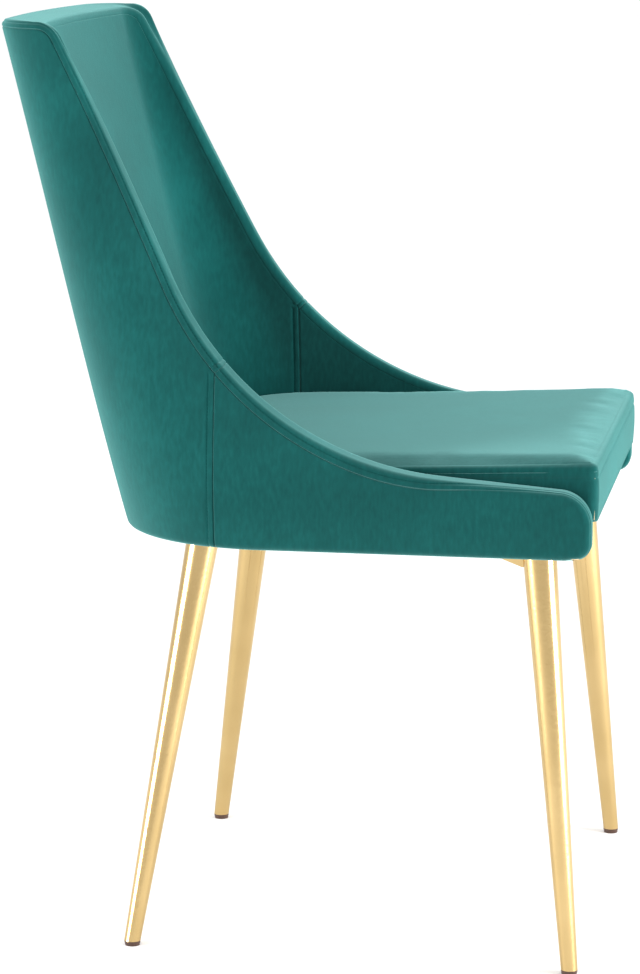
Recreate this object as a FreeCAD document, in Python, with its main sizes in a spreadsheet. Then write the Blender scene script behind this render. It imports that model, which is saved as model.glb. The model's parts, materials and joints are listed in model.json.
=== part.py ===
import FreeCAD, Part
import math
import os

import Sketcher
from FreeCAD import Placement, Rotation, Vector

# A high-backed dining chair: an upholstered shell whose sides sweep forward as low
# arms, a box cushion between them, and four tapered metal legs that splay outwards.
# Frame: millimetres, +Z up, the chair faces -Y, the origin is on the floor below the
# middle of the chair's bounding box.

SIZES = [
    # The shell as a whole
    ("total_height", 927, "floor to the top of the back"),
    ("shell_bottom", 418, "floor to the underside of the shell"),
    ("front_reach", 304, "origin forward to the front ends of the arms"),
    ("back_foot", 186, "origin back to the outer back face at the shell's underside"),
    ("recline", 13.4, "outer back face from the vertical, degrees"),
    ("back_crown", 1500, "radius of the back face in plan"),
    ("side_wall", 27, "thickness of an upholstered side"),
    ("back_wall", 48, "thickness of the upholstered back"),
    # Plan sections of the outer face, from the underside to the crest
    ("arm_rise", 142, "shell underside up to the arm section"),
    ("waist_rise", 272, "shell underside up to the waist section"),
    ("low_half_width", 258, "half width at the underside"),
    ("arm_half_width", 254, "half width at the arm section"),
    ("waist_half_width", 232, "half width at the waist section"),
    ("crest_half_width", 222, "half width at the crest"),
    ("low_corner", 155, "rear corner radius at the underside"),
    ("arm_corner", 125, "rear corner radius at the arm section"),
    ("waist_corner", 95, "rear corner radius at the waist section"),
    ("crest_corner", 75, "rear corner radius at the crest"),
    # The rim in side view: crest, leaning line, sweep, arm line, front
    ("rim_top", 234, "origin back to where the leaning line meets the crest"),
    ("rim_lean", 25.9, "leaning line from the vertical, degrees"),
    ("sweep", 328, "radius from the leaning line into the arm"),
    ("arm_height", 65, "arm above the shell underside at its front end"),
    ("arm_fall", 4.6, "slope of the arm line, degrees"),
    ("crest_round", 25, "radius at the top of the leaning line"),
    ("arm_round", 33, "radius at the top of an arm's front end"),
    ("toe_round", 17, "radius at the bottom of an arm's front end"),
    ("heel_slope", 45, "bevel under the back's rear edge, from the horizontal, degrees"),
    ("rim_depth", 12, "depth of the upholstered rim band"),
    ("junction", 66, "origin back to the seam between sides and back"),
    # Layers
    ("cover", 2.5, "upholstery cover with its wadding"),
    ("panel", 10, "plywood of the sides and the back shell"),
    ("splice", 9, "plywood plate that joins a side to the back shell"),
    ("splice_length", 60, "length of a splice plate along the side"),
    ("splice_height", 70, "height of a splice plate above the seat board"),
    # Seat frame and cushion
    ("rail_height", 34.5, "height of the seat rails"),
    ("rail", 22, "thickness of the seat rails"),
    ("front_rail_setback", 20, "arm fronts back to the front rail"),
    ("rear_rail_face", 118, "origin back to the front face of the rear rail"),
    ("rail_cover", 1.5, "cover on the front rail"),
    ("board", 12, "plywood seat board"),
    ("cushion_lead", 3.2, "cushion front ahead of the arm fronts"),
    ("cushion_front", 40, "foam above the board at the front"),
    ("cushion_rear", 22, "foam above the board at the back"),
    ("cushion_gap", 0.5, "cushion to the arms and the back"),
    ("dust_cover", 1, "cloth under the seat frame"),
    # Legs
    ("front_leg_side", 205, "centre line to a front leg's top"),
    ("front_leg_setback", 55, "arm fronts back to a front leg's top"),
    ("front_foot_side", 248, "centre line to a front foot"),
    ("front_foot_setback", 16, "arm fronts back to a front foot"),
    ("rear_leg_side", 156, "centre line to a rear leg's top"),
    ("rear_leg_behind", 96, "origin back to a rear leg's top"),
    ("rear_foot_side", 231, "centre line to a rear foot"),
    ("rear_foot_behind", 158, "origin back to a rear foot"),
    ("leg_top", 34, "leg diameter at the plate"),
    ("leg_foot", 17, "leg diameter at the foot"),
    ("leg_wall", 1.5, "wall of the leg tube"),
    ("glide", 5, "height of a glide below the leg"),
    ("glide_plug", 14, "height of a glide's plug inside the leg"),
    ("glide_taper", 1, "a glide's sole inside its rim, on the radius"),
    ("plug_gap", 0.2, "plug to the leg's bore, on the radius"),
    ("plate", 3, "thickness of a leg plate"),
    ("plate_out", 20, "leg axis to the plate's outer edges"),
    ("plate_in", 80, "leg axis to the plate's inner edges"),
    ("hole_far", 60, "leg axis to the outlying bolts"),
    ("hole_near", 20, "leg axis to the near bolt, across the chair"),
    ("gusset", 4, "thickness of a gusset"),
    ("gusset_length", 42, "gusset along the plate, from the leg"),
    ("gusset_height", 16, "gusset down the leg"),
    # Fasteners
    ("bolt", 6, "leg bolt diameter"),
    ("bolt_gap", 0.3, "bolt to its hole, on the radius"),
    ("bolt_end", 2, "bolt end below the seat board"),
    ("bolt_head", 12, "bolt head diameter"),
    ("bolt_head_height", 4, "bolt head height"),
    ("washer", 16, "washer diameter"),
    ("washer_height", 1.5, "washer thickness"),
    ("nut_barrel", 8, "tee nut barrel diameter"),
    ("nut_length", 12, "tee nut barrel length"),
    ("nut_flange", 20, "tee nut flange diameter"),
    ("nut_flange_height", 1.5, "tee nut flange thickness"),
    ("screw", 4, "wood screw diameter"),
    ("screw_length", 28, "wood screw length"),
    ("screw_head", 8, "wood screw head diameter"),
    ("screw_head_height", 2.5, "wood screw head height"),
    ("screw_sink", 1, "wood screw head below the surface"),
]

doc = FreeCAD.newDocument("dining_chair")
sheet = doc.addObject("Spreadsheet::Sheet", "Sizes")
for row, (alias, number, note) in enumerate(SIZES, start=1):
    sheet.set(f"A{row}", note)
    sheet.set(f"B{row}", str(number))
    sheet.setAlias(f"B{row}", alias)
doc.recompute()


class Size:
    """A number as it is now, with the expression that ties it to the sheet."""

    def __init__(self, value, text):
        self.value = value
        self.text = text

    @staticmethod
    def of(thing):
        return thing if isinstance(thing, Size) else Size(float(thing), repr(float(thing)))

    def join(self, sign, other):
        other = Size.of(other)
        results = {
            "+": self.value + other.value,
            "-": self.value - other.value,
            "*": self.value * other.value,
            "/": self.value / other.value if other.value else 0.0,
        }
        return Size(results[sign], f"({self.text} {sign} {other.text})")

    def __add__(self, other):
        return self.join("+", other)

    def __radd__(self, other):
        return Size.of(other).join("+", self)

    def __sub__(self, other):
        return self.join("-", other)

    def __rsub__(self, other):
        return Size.of(other).join("-", self)

    def __mul__(self, other):
        return self.join("*", other)

    def __rmul__(self, other):
        return Size.of(other).join("*", self)

    def __truediv__(self, other):
        return self.join("/", other)

    def __neg__(self):
        return Size.of(0) - self


def tangent(angle):
    return Size(math.tan(math.radians(angle.value)), f"tan({angle.text} * 1 deg)")


def cosine(angle):
    return Size(math.cos(math.radians(angle.value)), f"cos({angle.text} * 1 deg)")


class Sheet:
    """Named sizes read from the spreadsheet."""

    def __getattr__(self, alias):
        return Size(float(getattr(sheet, alias)), f"Sizes.{alias}")


S = Sheet()
pieces = []


def bind(thing, path, size):
    thing.setExpression(path, Size.of(size).text)


def piece(thing, label):
    """Name a finished sub-part; its label is its file's name."""
    thing.Label = label
    pieces.append(thing)
    return thing


# ---------------------------------------------------------------- sketch helpers

ALONG_SIDE = Rotation(Vector(0, 1, 0), Vector(0, 0, 1), Vector(1, 0, 0), "XYZ")


def dimension(sketch, name, constraint, size, unit=""):
    """Add one driving constraint, named and tied to the sheet."""
    index = sketch.addConstraint(constraint)
    sketch.renameConstraint(index, name)
    text = Size.of(size).text
    sketch.setExpression(f"Constraints.{name}", f"{text} * 1 {unit}" if unit else text)


def pin_point(sketch, name, geometry, point, along, up):
    """Hold a sketch point at a distance from the sketch's origin."""
    for axis, size in (("X", Size.of(along)), ("Y", Size.of(up))):
        held = Sketcher.Constraint(f"Distance{axis}", -1, 1, geometry, point, size.value)
        dimension(sketch, f"{name}_{axis.lower()}", held, size)


def polygon(sketch, corners):
    """Closed outline through corners, each held from the sketch's origin."""
    points = [Vector(Size.of(u).value, Size.of(v).value, 0) for u, v in corners]
    count = len(points)
    for index in range(count):
        sketch.addGeometry(Part.LineSegment(points[index], points[(index + 1) % count]))
    for index in range(count):
        joint = Sketcher.Constraint("Coincident", index, 2, (index + 1) % count, 1)
        sketch.addConstraint(joint)
    for index, (u, v) in enumerate(corners):
        pin_point(sketch, f"corner_{index}", index, 1, u, v)


def circle(sketch, along, up, radius):
    along, up, radius = Size.of(along), Size.of(up), Size.of(radius)
    centre = Vector(along.value, up.value, 0)
    index = sketch.addGeometry(Part.Circle(centre, Vector(0, 0, 1), radius.value))
    pin_point(sketch, f"centre_{index}", index, 3, along, up)
    dimension(sketch, f"radius_{index}", Sketcher.Constraint("Radius", index, radius.value), radius)


def free_sketch(name):
    return doc.addObject("Sketcher::SketchObject", name)


def side_sketch(name):
    """A sketch in the plane of symmetry: across is the chair's Y, up is its Z."""
    sketch = free_sketch(name)
    sketch.Placement = Placement(Vector(0, 0, 0), ALONG_SIDE)
    return sketch


def extrude_sideways(name, sketch, half_width):
    """Extrude a side sketch equally to the left and to the right."""
    solid = doc.addObject("Part::Extrusion", name)
    solid.Base = sketch
    solid.DirMode = "Custom"
    solid.Dir = Vector(1, 0, 0)
    solid.Solid = True
    solid.Symmetric = True
    bind(solid, "LengthFwd", half_width * 2)
    return solid


# ---------------------------------------------------------------- solid helpers

def box(name, low, high):
    """A box between two corners, each given as three sizes."""
    solid = doc.addObject("Part::Box", name)
    spans = zip(("x", "y", "z"), ("Length", "Width", "Height"), low, high)
    for axis, side, start, end in spans:
        bind(solid, f"Placement.Base.{axis}", start)
        bind(solid, side, Size.of(end) - start)
    return solid


def common(name, *solids):
    result = doc.addObject("Part::MultiCommon", name)
    result.Shapes = list(solids)
    return result


def fuse(name, *solids):
    result = doc.addObject("Part::MultiFuse", name)
    result.Shapes = list(solids)
    return result


def cut(name, base, tool):
    result = doc.addObject("Part::Cut", name)
    result.Base = base
    result.Tool = tool
    return result


def group(name, solids):
    """Several separate solids that share one node."""
    result = doc.addObject("Part::Compound", name)
    result.Links = list(solids)
    return result


def cylinder(name, radius, height, at, direction="up"):
    """A cylinder from a point upwards, or sideways towards +X or -X."""
    solid = doc.addObject("Part::Cylinder", name)
    turns = {"up": 0, "right": 90, "left": -90}
    solid.Placement = Placement(Vector(0, 0, 0), Rotation(Vector(0, 1, 0), turns[direction]))
    bind(solid, "Radius", radius)
    bind(solid, "Height", height)
    for axis, size in zip(("x", "y", "z"), at):
        bind(solid, f"Placement.Base.{axis}", size)
    return solid


# ---------------------------------------------------------------- levels

OVERRUN = 18        # how far the construction blocks run past the shell
REACH = 420         # half size of the construction masks

frame_bottom = S.shell_bottom + S.cover
board_bottom = frame_bottom + S.rail_height
board_top = board_bottom + S.board
cushion_face = S.front_reach + S.cushion_lead
front_rail_face = S.front_reach - S.front_rail_setback
plate_bottom = frame_bottom - S.dust_cover - S.plate
inner_corner = (S.side_wall + S.back_wall) / 2


# ---------------------------------------------------------------- shell blocks

def plan_sketch(name, level, half_width, corner, rear):
    """Closed plan outline: front line, two sides, two rear corners, crowned back."""
    sketch = free_sketch(name)
    bind(sketch, "Placement.Base.z", level)
    crown = S.back_crown
    front = Size.of(REACH)
    reach = crown.value - corner.value
    flank = half_width.value - corner.value
    crown_centre = rear.value - crown.value
    corner_y = crown_centre + math.sqrt(reach ** 2 - flank ** 2)
    lean = math.asin(flank / reach)
    width = half_width.value
    up = Vector(0, 0, 1)
    front_left, front_right = Vector(-width, -REACH, 0), Vector(width, -REACH, 0)
    side_left, side_right = Vector(-width, corner_y, 0), Vector(width, corner_y, 0)

    def arc(centre_x, centre_y, radius, start, end):
        round_off = Part.Circle(Vector(centre_x, centre_y, 0), up, radius)
        return Part.ArcOfCircle(round_off, start, end)

    right_angle = math.pi / 2
    sketch.addGeometry([
        Part.LineSegment(front_left, front_right),
        Part.LineSegment(front_right, side_right),
        arc(flank, corner_y, corner.value, 0, right_angle - lean),
        arc(0, crown_centre, crown.value, right_angle - lean, right_angle + lean),
        arc(-flank, corner_y, corner.value, right_angle + lean, math.pi),
        Part.LineSegment(side_left, front_left),
    ])
    sketch.addConstraint([
        Sketcher.Constraint("Coincident", 0, 2, 1, 1),
        Sketcher.Constraint("Coincident", 5, 2, 0, 1),
        Sketcher.Constraint("Tangent", 1, 2, 2, 1),
        Sketcher.Constraint("Tangent", 2, 2, 3, 1),
        Sketcher.Constraint("Tangent", 3, 2, 4, 1),
        Sketcher.Constraint("Tangent", 4, 2, 5, 1),
        Sketcher.Constraint("Horizontal", 0),
        Sketcher.Constraint("Vertical", 1),
        Sketcher.Constraint("Vertical", 5),
        Sketcher.Constraint("Equal", 2, 4),
        Sketcher.Constraint("PointOnObject", 3, 3, -2),
    ])
    dimension(sketch, "right", Sketcher.Constraint("DistanceX", -1, 1, 0, 2, width), half_width)
    dimension(sketch, "left", Sketcher.Constraint("DistanceX", 0, 1, -1, 1, width), half_width)
    dimension(sketch, "front", Sketcher.Constraint("DistanceY", 0, 1, -1, 1, REACH), front)
    dimension(sketch, "corner", Sketcher.Constraint("Radius", 2, corner.value), corner)
    dimension(sketch, "crown", Sketcher.Constraint("Radius", 3, crown.value), crown)
    depth = crown - rear
    dimension(sketch, "rear", Sketcher.Constraint("DistanceY", 3, 3, -1, 1, depth.value), depth)
    return sketch


def shell_block(name, side, back, corner):
    """The shell's solid envelope, set in by side, back and corner insets."""
    levels = [
        ("low", S.shell_bottom - OVERRUN, S.low_half_width, S.low_corner),
        ("arm", S.shell_bottom + S.arm_rise, S.arm_half_width, S.arm_corner),
        ("waist", S.shell_bottom + S.waist_rise, S.waist_half_width, S.waist_corner),
        ("crest", S.total_height + OVERRUN, S.crest_half_width, S.crest_corner),
    ]
    sections = []
    for tag, level, half_width, radius in levels:
        rear = S.back_foot + tangent(S.recline) * (level - S.shell_bottom) - back
        sections.append(plan_sketch(f"{name}_{tag}", level, half_width - side,
                                    radius - corner, rear))
    block = doc.addObject("Part::Loft", name)
    block.Sections = sections
    block.Solid = True
    block.Ruled = False
    return block


def even_block(name, inset):
    return shell_block(name, inset, inset, inset)


def heel_wedge(name, inset):
    """What the bevel under the back's rear edge takes away, set in square to its face."""
    toe_y = S.back_foot - S.cover - S.panel - inset / (tangent(S.heel_slope) * cosine(S.heel_slope))
    low = S.shell_bottom - OVERRUN
    sketch = side_sketch(f"{name}_outline")
    polygon(sketch, [(toe_y - Size.of(OVERRUN) / tangent(S.heel_slope), low), (REACH, low),
                     (REACH, S.shell_bottom + (REACH - toe_y) * tangent(S.heel_slope))])
    return extrude_sideways(name, sketch, Size.of(REACH))


outer_block = cut("outer_block", even_block("outer_envelope", Size.of(0)),
                  heel_wedge("heel_wedge", Size.of(0)))
padding_block = cut("padding_block", even_block("padding_envelope", S.cover),
                    heel_wedge("padding_wedge", S.cover))
panel_block = even_block("panel_block", S.cover + S.panel)
splice_block = even_block("splice_block", S.cover + S.panel + S.splice)
rail_block = even_block("rail_block", S.cover + S.panel + S.rail)
lining_block = shell_block("lining_block", S.side_wall - S.cover,
                           S.back_wall - S.cover, inner_corner - S.cover)
inside_block = shell_block("inside_block", S.side_wall, S.back_wall, inner_corner)
cushion_block = shell_block("cushion_block", S.side_wall + S.cushion_gap,
                            S.back_wall + S.cushion_gap, inner_corner + S.cushion_gap)
filling_block = shell_block("filling_block", S.side_wall + S.cushion_gap + S.cover,
                            S.back_wall + S.cushion_gap + S.cover,
                            inner_corner + S.cushion_gap + S.cover)


# ---------------------------------------------------------------- rim profile

def rim_sketch(name, inset):
    """The shell in side view, set in from the crest, the rim and the front, and let down as far
    at the heel, so that the strip between two of them ends square at the toe."""
    sketch = side_sketch(name)
    inset = Size.of(inset)
    lean, fall = math.radians(S.rim_lean.value), math.radians(S.arm_fall.value)
    top = S.total_height - inset
    front = S.front_reach - inset
    toe, heel = S.toe_round - inset, S.shell_bottom - inset
    crest_round, arm_round = S.crest_round - inset, S.arm_round - inset
    sweep = S.sweep + inset
    crest_y = S.rim_top + inset / cosine(S.rim_lean) - inset * tangent(S.rim_lean)
    arm_z = (S.shell_bottom + S.arm_height + inset * tangent(S.arm_fall)
             - inset / cosine(S.arm_fall))
    rear = Size.of(REACH)

    # Where the leaning line and the arm line would meet, and the sweep between them
    slope = math.tan(fall)
    meet_y = (crest_y.value - math.tan(lean) * (top.value - arm_z.value - slope * front.value))
    meet_y /= 1 - math.tan(lean) * slope
    meet_z = arm_z.value + slope * (meet_y + front.value)
    half_turn = (math.pi / 2 - lean - fall) / 2
    run = sweep.value * math.tan(half_turn)
    arm_end = Vector(meet_y - run * math.cos(fall), meet_z - run * math.sin(fall), 0)
    lean_start = Vector(meet_y + run * math.sin(lean), meet_z + run * math.cos(lean), 0)
    sweep_centre = arm_end + Vector(-math.sin(fall), math.cos(fall), 0) * sweep.value

    # Round-offs at the crest, at the arm's front end and at its toe
    crest_run = crest_round.value * math.tan((math.pi / 2 - lean) / 2)
    crest_centre = Vector(crest_y.value + crest_run, top.value - crest_round.value, 0)
    lean_end = crest_centre + Vector(-math.cos(lean), math.sin(lean), 0) * crest_round.value
    arm_run = arm_round.value * math.tan((math.pi / 2 - fall) / 2)
    arm_start_y = arm_run * math.cos(fall) - front.value
    arm_start = Vector(arm_start_y, arm_z.value + arm_run * math.sin(fall), 0)
    arm_centre = arm_start + Vector(math.sin(fall), -math.cos(fall), 0) * arm_round.value
    toe_centre = Vector(toe.value - front.value, heel.value + toe.value, 0)
    up = Vector(0, 0, 1)

    def arc(centre, radius, start, end):
        return Part.ArcOfCircle(Part.Circle(centre, up, radius.value), start, end)

    sketch.addGeometry([
        Part.LineSegment(Vector(REACH, heel.value, 0), Vector(toe_centre.x, heel.value, 0)),
        arc(toe_centre, toe, math.pi, math.pi * 1.5),
        Part.LineSegment(Vector(-front.value, toe_centre.y, 0), Vector(-front.value, arm_centre.y, 0)),
        arc(arm_centre, arm_round, math.pi / 2 + fall, math.pi),
        Part.LineSegment(arm_start, arm_end),
        arc(sweep_centre, sweep, fall - math.pi / 2, -lean),
        Part.LineSegment(lean_start, lean_end),
        arc(crest_centre, crest_round, math.pi / 2, math.pi - lean),
        Part.LineSegment(Vector(crest_centre.x, top.value, 0), Vector(REACH, top.value, 0)),
        Part.LineSegment(Vector(REACH, top.value, 0), Vector(REACH, heel.value, 0)),
    ])
    arm_mark = sketch.addGeometry(Part.Point(Vector(-front.value, arm_z.value, 0)), True)
    crest_mark = sketch.addGeometry(Part.Point(Vector(crest_y.value, top.value, 0)), True)
    sketch.addConstraint([
        Sketcher.Constraint("Tangent", 0, 2, 1, 2),
        Sketcher.Constraint("Tangent", 1, 1, 2, 1),
        Sketcher.Constraint("Tangent", 2, 2, 3, 2),
        Sketcher.Constraint("Tangent", 3, 1, 4, 1),
        Sketcher.Constraint("Tangent", 4, 2, 5, 1),
        Sketcher.Constraint("Tangent", 5, 2, 6, 1),
        Sketcher.Constraint("Tangent", 6, 2, 7, 2),
        Sketcher.Constraint("Tangent", 7, 1, 8, 1),
        Sketcher.Constraint("Coincident", 8, 2, 9, 1),
        Sketcher.Constraint("Coincident", 9, 2, 0, 1),
        Sketcher.Constraint("Horizontal", 0),
        Sketcher.Constraint("Vertical", 2),
        Sketcher.Constraint("Horizontal", 8),
        Sketcher.Constraint("Vertical", 9),
        Sketcher.Constraint("PointOnObject", arm_mark, 1, 4),
        Sketcher.Constraint("PointOnObject", crest_mark, 1, 6),
    ])
    pin_point(sketch, "heel", 0, 1, rear, heel)
    pin_point(sketch, "arm", arm_mark, 1, -front, arm_z)
    pin_point(sketch, "crest", crest_mark, 1, crest_y, top)
    ahead = Sketcher.Constraint("DistanceX", 2, 1, -1, 1, front.value)
    dimension(sketch, "front", ahead, front)
    aloft = Sketcher.Constraint("DistanceY", -1, 1, 8, 2, top.value)
    dimension(sketch, "top", aloft, top)
    radii = (("toe", 1, toe), ("arm_round", 3, arm_round), ("sweep", 5, sweep),
             ("crest_round", 7, crest_round))
    for label, index, radius in radii:
        dimension(sketch, label, Sketcher.Constraint("Radius", index, radius.value), radius)
    dimension(sketch, "fall", Sketcher.Constraint("Angle", 4, fall), S.arm_fall, "deg")
    rise = 90 - S.rim_lean
    dimension(sketch, "lean", Sketcher.Constraint("Angle", 6, math.radians(rise.value)), rise, "deg")
    return sketch


rim_profile = extrude_sideways("rim_profile", rim_sketch("rim_outline", 0), Size.of(REACH))
core_blank = extrude_sideways("core_blank", rim_sketch("core_outline", S.rim_depth),
                              Size.of(REACH))
core_profile = common("core_profile", rim_profile, core_blank)
rim_strip = cut("rim_strip", rim_profile, core_blank)


# ---------------------------------------------------------------- regions

def region_box(name, region, level):
    """A mask for the back, or for the left or right side, from a level upwards."""
    spans = {
        "back": ((-REACH, S.junction), (REACH, REACH)),
        "left": ((-REACH, -REACH), (0, S.junction)),
        "right": ((0, -REACH), (REACH, S.junction)),
    }
    (left, front), (right, rear) = spans[region]
    top = S.total_height + OVERRUN
    return box(name, (left, front, level), (right, rear, top))


REGIONS = ("back", "left", "right")
masks = {}
for region in REGIONS:
    shell_region = region_box(f"{region}_region", region, S.shell_bottom - OVERRUN)
    masks[region, "rim"] = common(f"{region}_rim_mask", rim_strip, shell_region)
    masks[region, "cover"] = common(f"{region}_cover_mask", core_profile, shell_region)
    frame_region = region_box(f"{region}_frame_region", region, frame_bottom)
    masks[region, "frame"] = common(f"{region}_frame_mask", core_profile, frame_region)
    seat_region = region_box(f"{region}_seat_region", region, board_top)
    masks[region, "seat"] = common(f"{region}_seat_mask", core_profile, seat_region)

whole_wall = cut("whole_wall", outer_block, inside_block)
cover_layer = cut("cover_layer", cut("cover_and_core", outer_block, padding_block), panel_block)
panel_layer = cut("panel_layer", padding_block, panel_block)
foam_layer = cut("foam_layer", panel_block, lining_block)
lining_layer = cut("lining_layer", lining_block, inside_block)
splice_layer = cut("splice_layer", panel_block, splice_block)
rail_layer = cut("rail_layer", panel_block, rail_block)


# ---------------------------------------------------------------- seat frame

def slab(name, front, rear, bottom, top):
    return box(name, (-REACH, front, bottom), (REACH, rear, top))


front_rail = common("front_rail_body", panel_block,
                    slab("front_rail_slab", -front_rail_face, S.rail - front_rail_face,
                         frame_bottom, board_bottom))
rear_rail = common("rear_rail_body", panel_block,
                   slab("rear_rail_slab", S.rear_rail_face, S.rear_rail_face + S.rail,
                        frame_bottom, board_bottom))
side_rails = {}
for side, left, right in (("left", -REACH, 0), ("right", 0, REACH)):
    span = box(f"{side}_rail_span", (left, S.rail - front_rail_face, frame_bottom),
               (right, S.junction, board_bottom))
    side_rails[side] = common(f"{side}_rail_body", rail_layer, span)

LEG_ENDS = {
    "front": (S.front_leg_side, S.front_leg_setback - S.front_reach,
              S.front_foot_side, S.front_foot_setback - S.front_reach, 1),
    "rear": (S.rear_leg_side, S.rear_leg_behind, S.rear_foot_side, S.rear_foot_behind, -1),
}
LEGS = []
for end, (top_x, top_y, foot_x, foot_y, inward) in LEG_ENDS.items():
    for side, sign in (("left", -1), ("right", 1)):
        LEGS.append((f"{end}_{side}", sign, top_x * sign, top_y, foot_x * sign, foot_y, inward))


def span_from(start, offset_a, offset_b):
    """Low and high ends of start plus two offsets, whichever way round they are."""
    ends = sorted((start + offset_a, start + offset_b), key=lambda size: size.value)
    return ends[0], ends[1]


def corner_block(name, sign, top_x, top_y, inward):
    """Hardwood block over a leg plate, fitted between the rails and the panels."""
    x_low, x_high = span_from(top_x, -sign * S.plate_in, Size.of(sign * REACH))
    y_low, y_high = span_from(top_y, inward * S.plate_in, -inward * S.plate_in)
    blank = box(f"{name}_blank", (x_low, y_low, frame_bottom), (x_high, y_high, board_bottom))
    rails = fuse(f"{name}_rails", front_rail, rear_rail, *side_rails.values())
    reach = box(f"{name}_reach", (-REACH, -front_rail_face + S.rail, frame_bottom),
                (REACH, S.rear_rail_face, board_bottom))
    return cut(f"{name}_block", common(f"{name}_fit", blank, panel_block, reach), rails)


# ---------------------------------------------------------------- leg fasteners

bolt_tools, bolts, washers, tee_nuts = [], [], [], []
for name, sign, top_x, top_y, _, _, inward in LEGS:
    spots = [(-S.hole_far, S.hole_near), (-S.hole_far, S.hole_far), (-S.hole_near, S.hole_far)]
    for number, (across, along) in enumerate(spots, start=1):
        x, y = top_x + sign * across, top_y + inward * along
        tag = f"{name}_{number}"
        head_bottom = plate_bottom - S.washer_height - S.bolt_head_height
        shank = board_bottom - head_bottom - S.bolt_end
        bolts.append(fuse(f"bolt_{tag}",
                          cylinder(f"bolt_shank_{tag}", S.bolt / 2, shank, (x, y, head_bottom)),
                          cylinder(f"bolt_head_{tag}", S.bolt_head / 2, S.bolt_head_height,
                                   (x, y, head_bottom))))
        hole = S.bolt / 2 + S.bolt_gap
        bolt_tools.append(cylinder(f"bolt_hole_{tag}", hole, board_bottom - head_bottom,
                                   (x, y, head_bottom)))
        washer_bottom = plate_bottom - S.washer_height
        washers.append(cut(f"washer_{tag}",
                           cylinder(f"washer_disc_{tag}", S.washer / 2, S.washer_height,
                                    (x, y, washer_bottom)),
                           cylinder(f"washer_hole_{tag}", hole, S.washer_height,
                                    (x, y, washer_bottom))))
        barrel_bottom = board_bottom - S.nut_length
        flange_bottom = board_bottom - S.nut_flange_height
        nut_body = fuse(f"nut_body_{tag}",
                        cylinder(f"nut_barrel_{tag}", S.nut_barrel / 2, S.nut_length,
                                 (x, y, barrel_bottom)),
                        cylinder(f"nut_flange_{tag}", S.nut_flange / 2, S.nut_flange_height,
                                 (x, y, flange_bottom)))
        tee_nuts.append(cut(f"tee_nut_{tag}", nut_body,
                            cylinder(f"nut_bore_{tag}", S.bolt / 2, S.nut_length,
                                     (x, y, barrel_bottom))))

leg_bolts = piece(group("leg_bolt_group", bolts), "leg_bolts")
leg_washers = piece(group("leg_washer_group", washers), "leg_washers")
leg_tee_nuts = piece(group("leg_tee_nut_group", tee_nuts), "leg_tee_nuts")
bolt_holes = fuse("bolt_holes", *bolt_tools)

# ---------------------------------------------------------------- wood screws

FORE, MIDDLE, AFT = 0.7, 0.3, 0.3    # screw places, as shares of the way to a rail's end
INBOARD = 0.5                       # screws of the cross rails, as a share of the leg's side

screws = []
screw_head_radius = S.screw_head / 2
side_rail_middle = S.low_half_width - S.cover - S.panel - S.rail / 2
screw_side = S.low_half_width - S.cover - S.screw_sink
rail_middle_level = frame_bottom + S.rail_height / 2
for side, sign, direction in (("left", -1, "right"), ("right", 1, "left")):
    for number, y in enumerate((-front_rail_face * FORE, -front_rail_face * MIDDLE,
                                S.junction * AFT)):
        tag = f"{side}_{number}"
        at = (screw_side * sign, y, rail_middle_level)
        screws.append(fuse(f"side_screw_{tag}",
                           cylinder(f"side_shank_{tag}", S.screw / 2, S.screw_length, at, direction),
                           cylinder(f"side_head_{tag}", screw_head_radius, S.screw_head_height,
                                    at, direction)))
board_spots = [(sign * side_rail_middle, y) for sign in (-1, 1)
               for y in (-front_rail_face * INBOARD, S.junction * (1 - INBOARD - AFT))]
for leg_side, y in ((S.front_leg_side, S.rail / 2 - front_rail_face),
                    (S.rear_leg_side, S.rear_rail_face + S.rail / 2)):
    board_spots += [(sign * leg_side * INBOARD, y) for sign in (-1, 1)]
for number, (x, y) in enumerate(board_spots):
    top = board_top - S.screw_sink
    shank_at = (x, y, top - S.screw_length)
    head_at = (x, y, top - S.screw_head_height)
    screws.append(fuse(f"board_screw_{number}",
                       cylinder(f"board_shank_{number}", S.screw / 2, S.screw_length, shank_at),
                       cylinder(f"board_head_{number}", screw_head_radius, S.screw_head_height,
                                head_at)))
frame_screws = piece(group("frame_screw_group", screws), "frame_screws")


# ---------------------------------------------------------------- upholstered shell

def hem(region):
    """The cover turned under the panel's bottom edge."""
    turned = cut(f"{region}_hem_layer", outer_block, panel_block)
    strip = slab(f"{region}_hem_slab", -REACH, REACH, S.shell_bottom, frame_bottom)
    return common(f"{region}_hem", turned, strip, masks[region, "cover"])


LABELS = {
    "back": ("rim_band_back", "outer_back_cover", "back_shell", "back_foam", "inner_back_cover"),
    "left": ("rim_band_left", "outer_side_cover_left", "side_panel_left", "side_foam_left",
             "inner_side_cover_left"),
    "right": ("rim_band_right", "outer_side_cover_right", "side_panel_right", "side_foam_right",
              "inner_side_cover_right"),
}
splices = {}
for side, left, right in (("left", -REACH, 0), ("right", 0, REACH)):
    span = box(f"{side}_splice_span",
               (left, S.junction - S.splice_length / 2, board_top),
               (right, S.junction + S.splice_length / 2, board_top + S.splice_height))
    plate_body = common(f"{side}_splice_body", splice_layer, span, core_profile)
    splices[side] = piece(plate_body, f"splice_plate_{side}")
splice_pair = group("splice_pair", splices.values())

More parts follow.
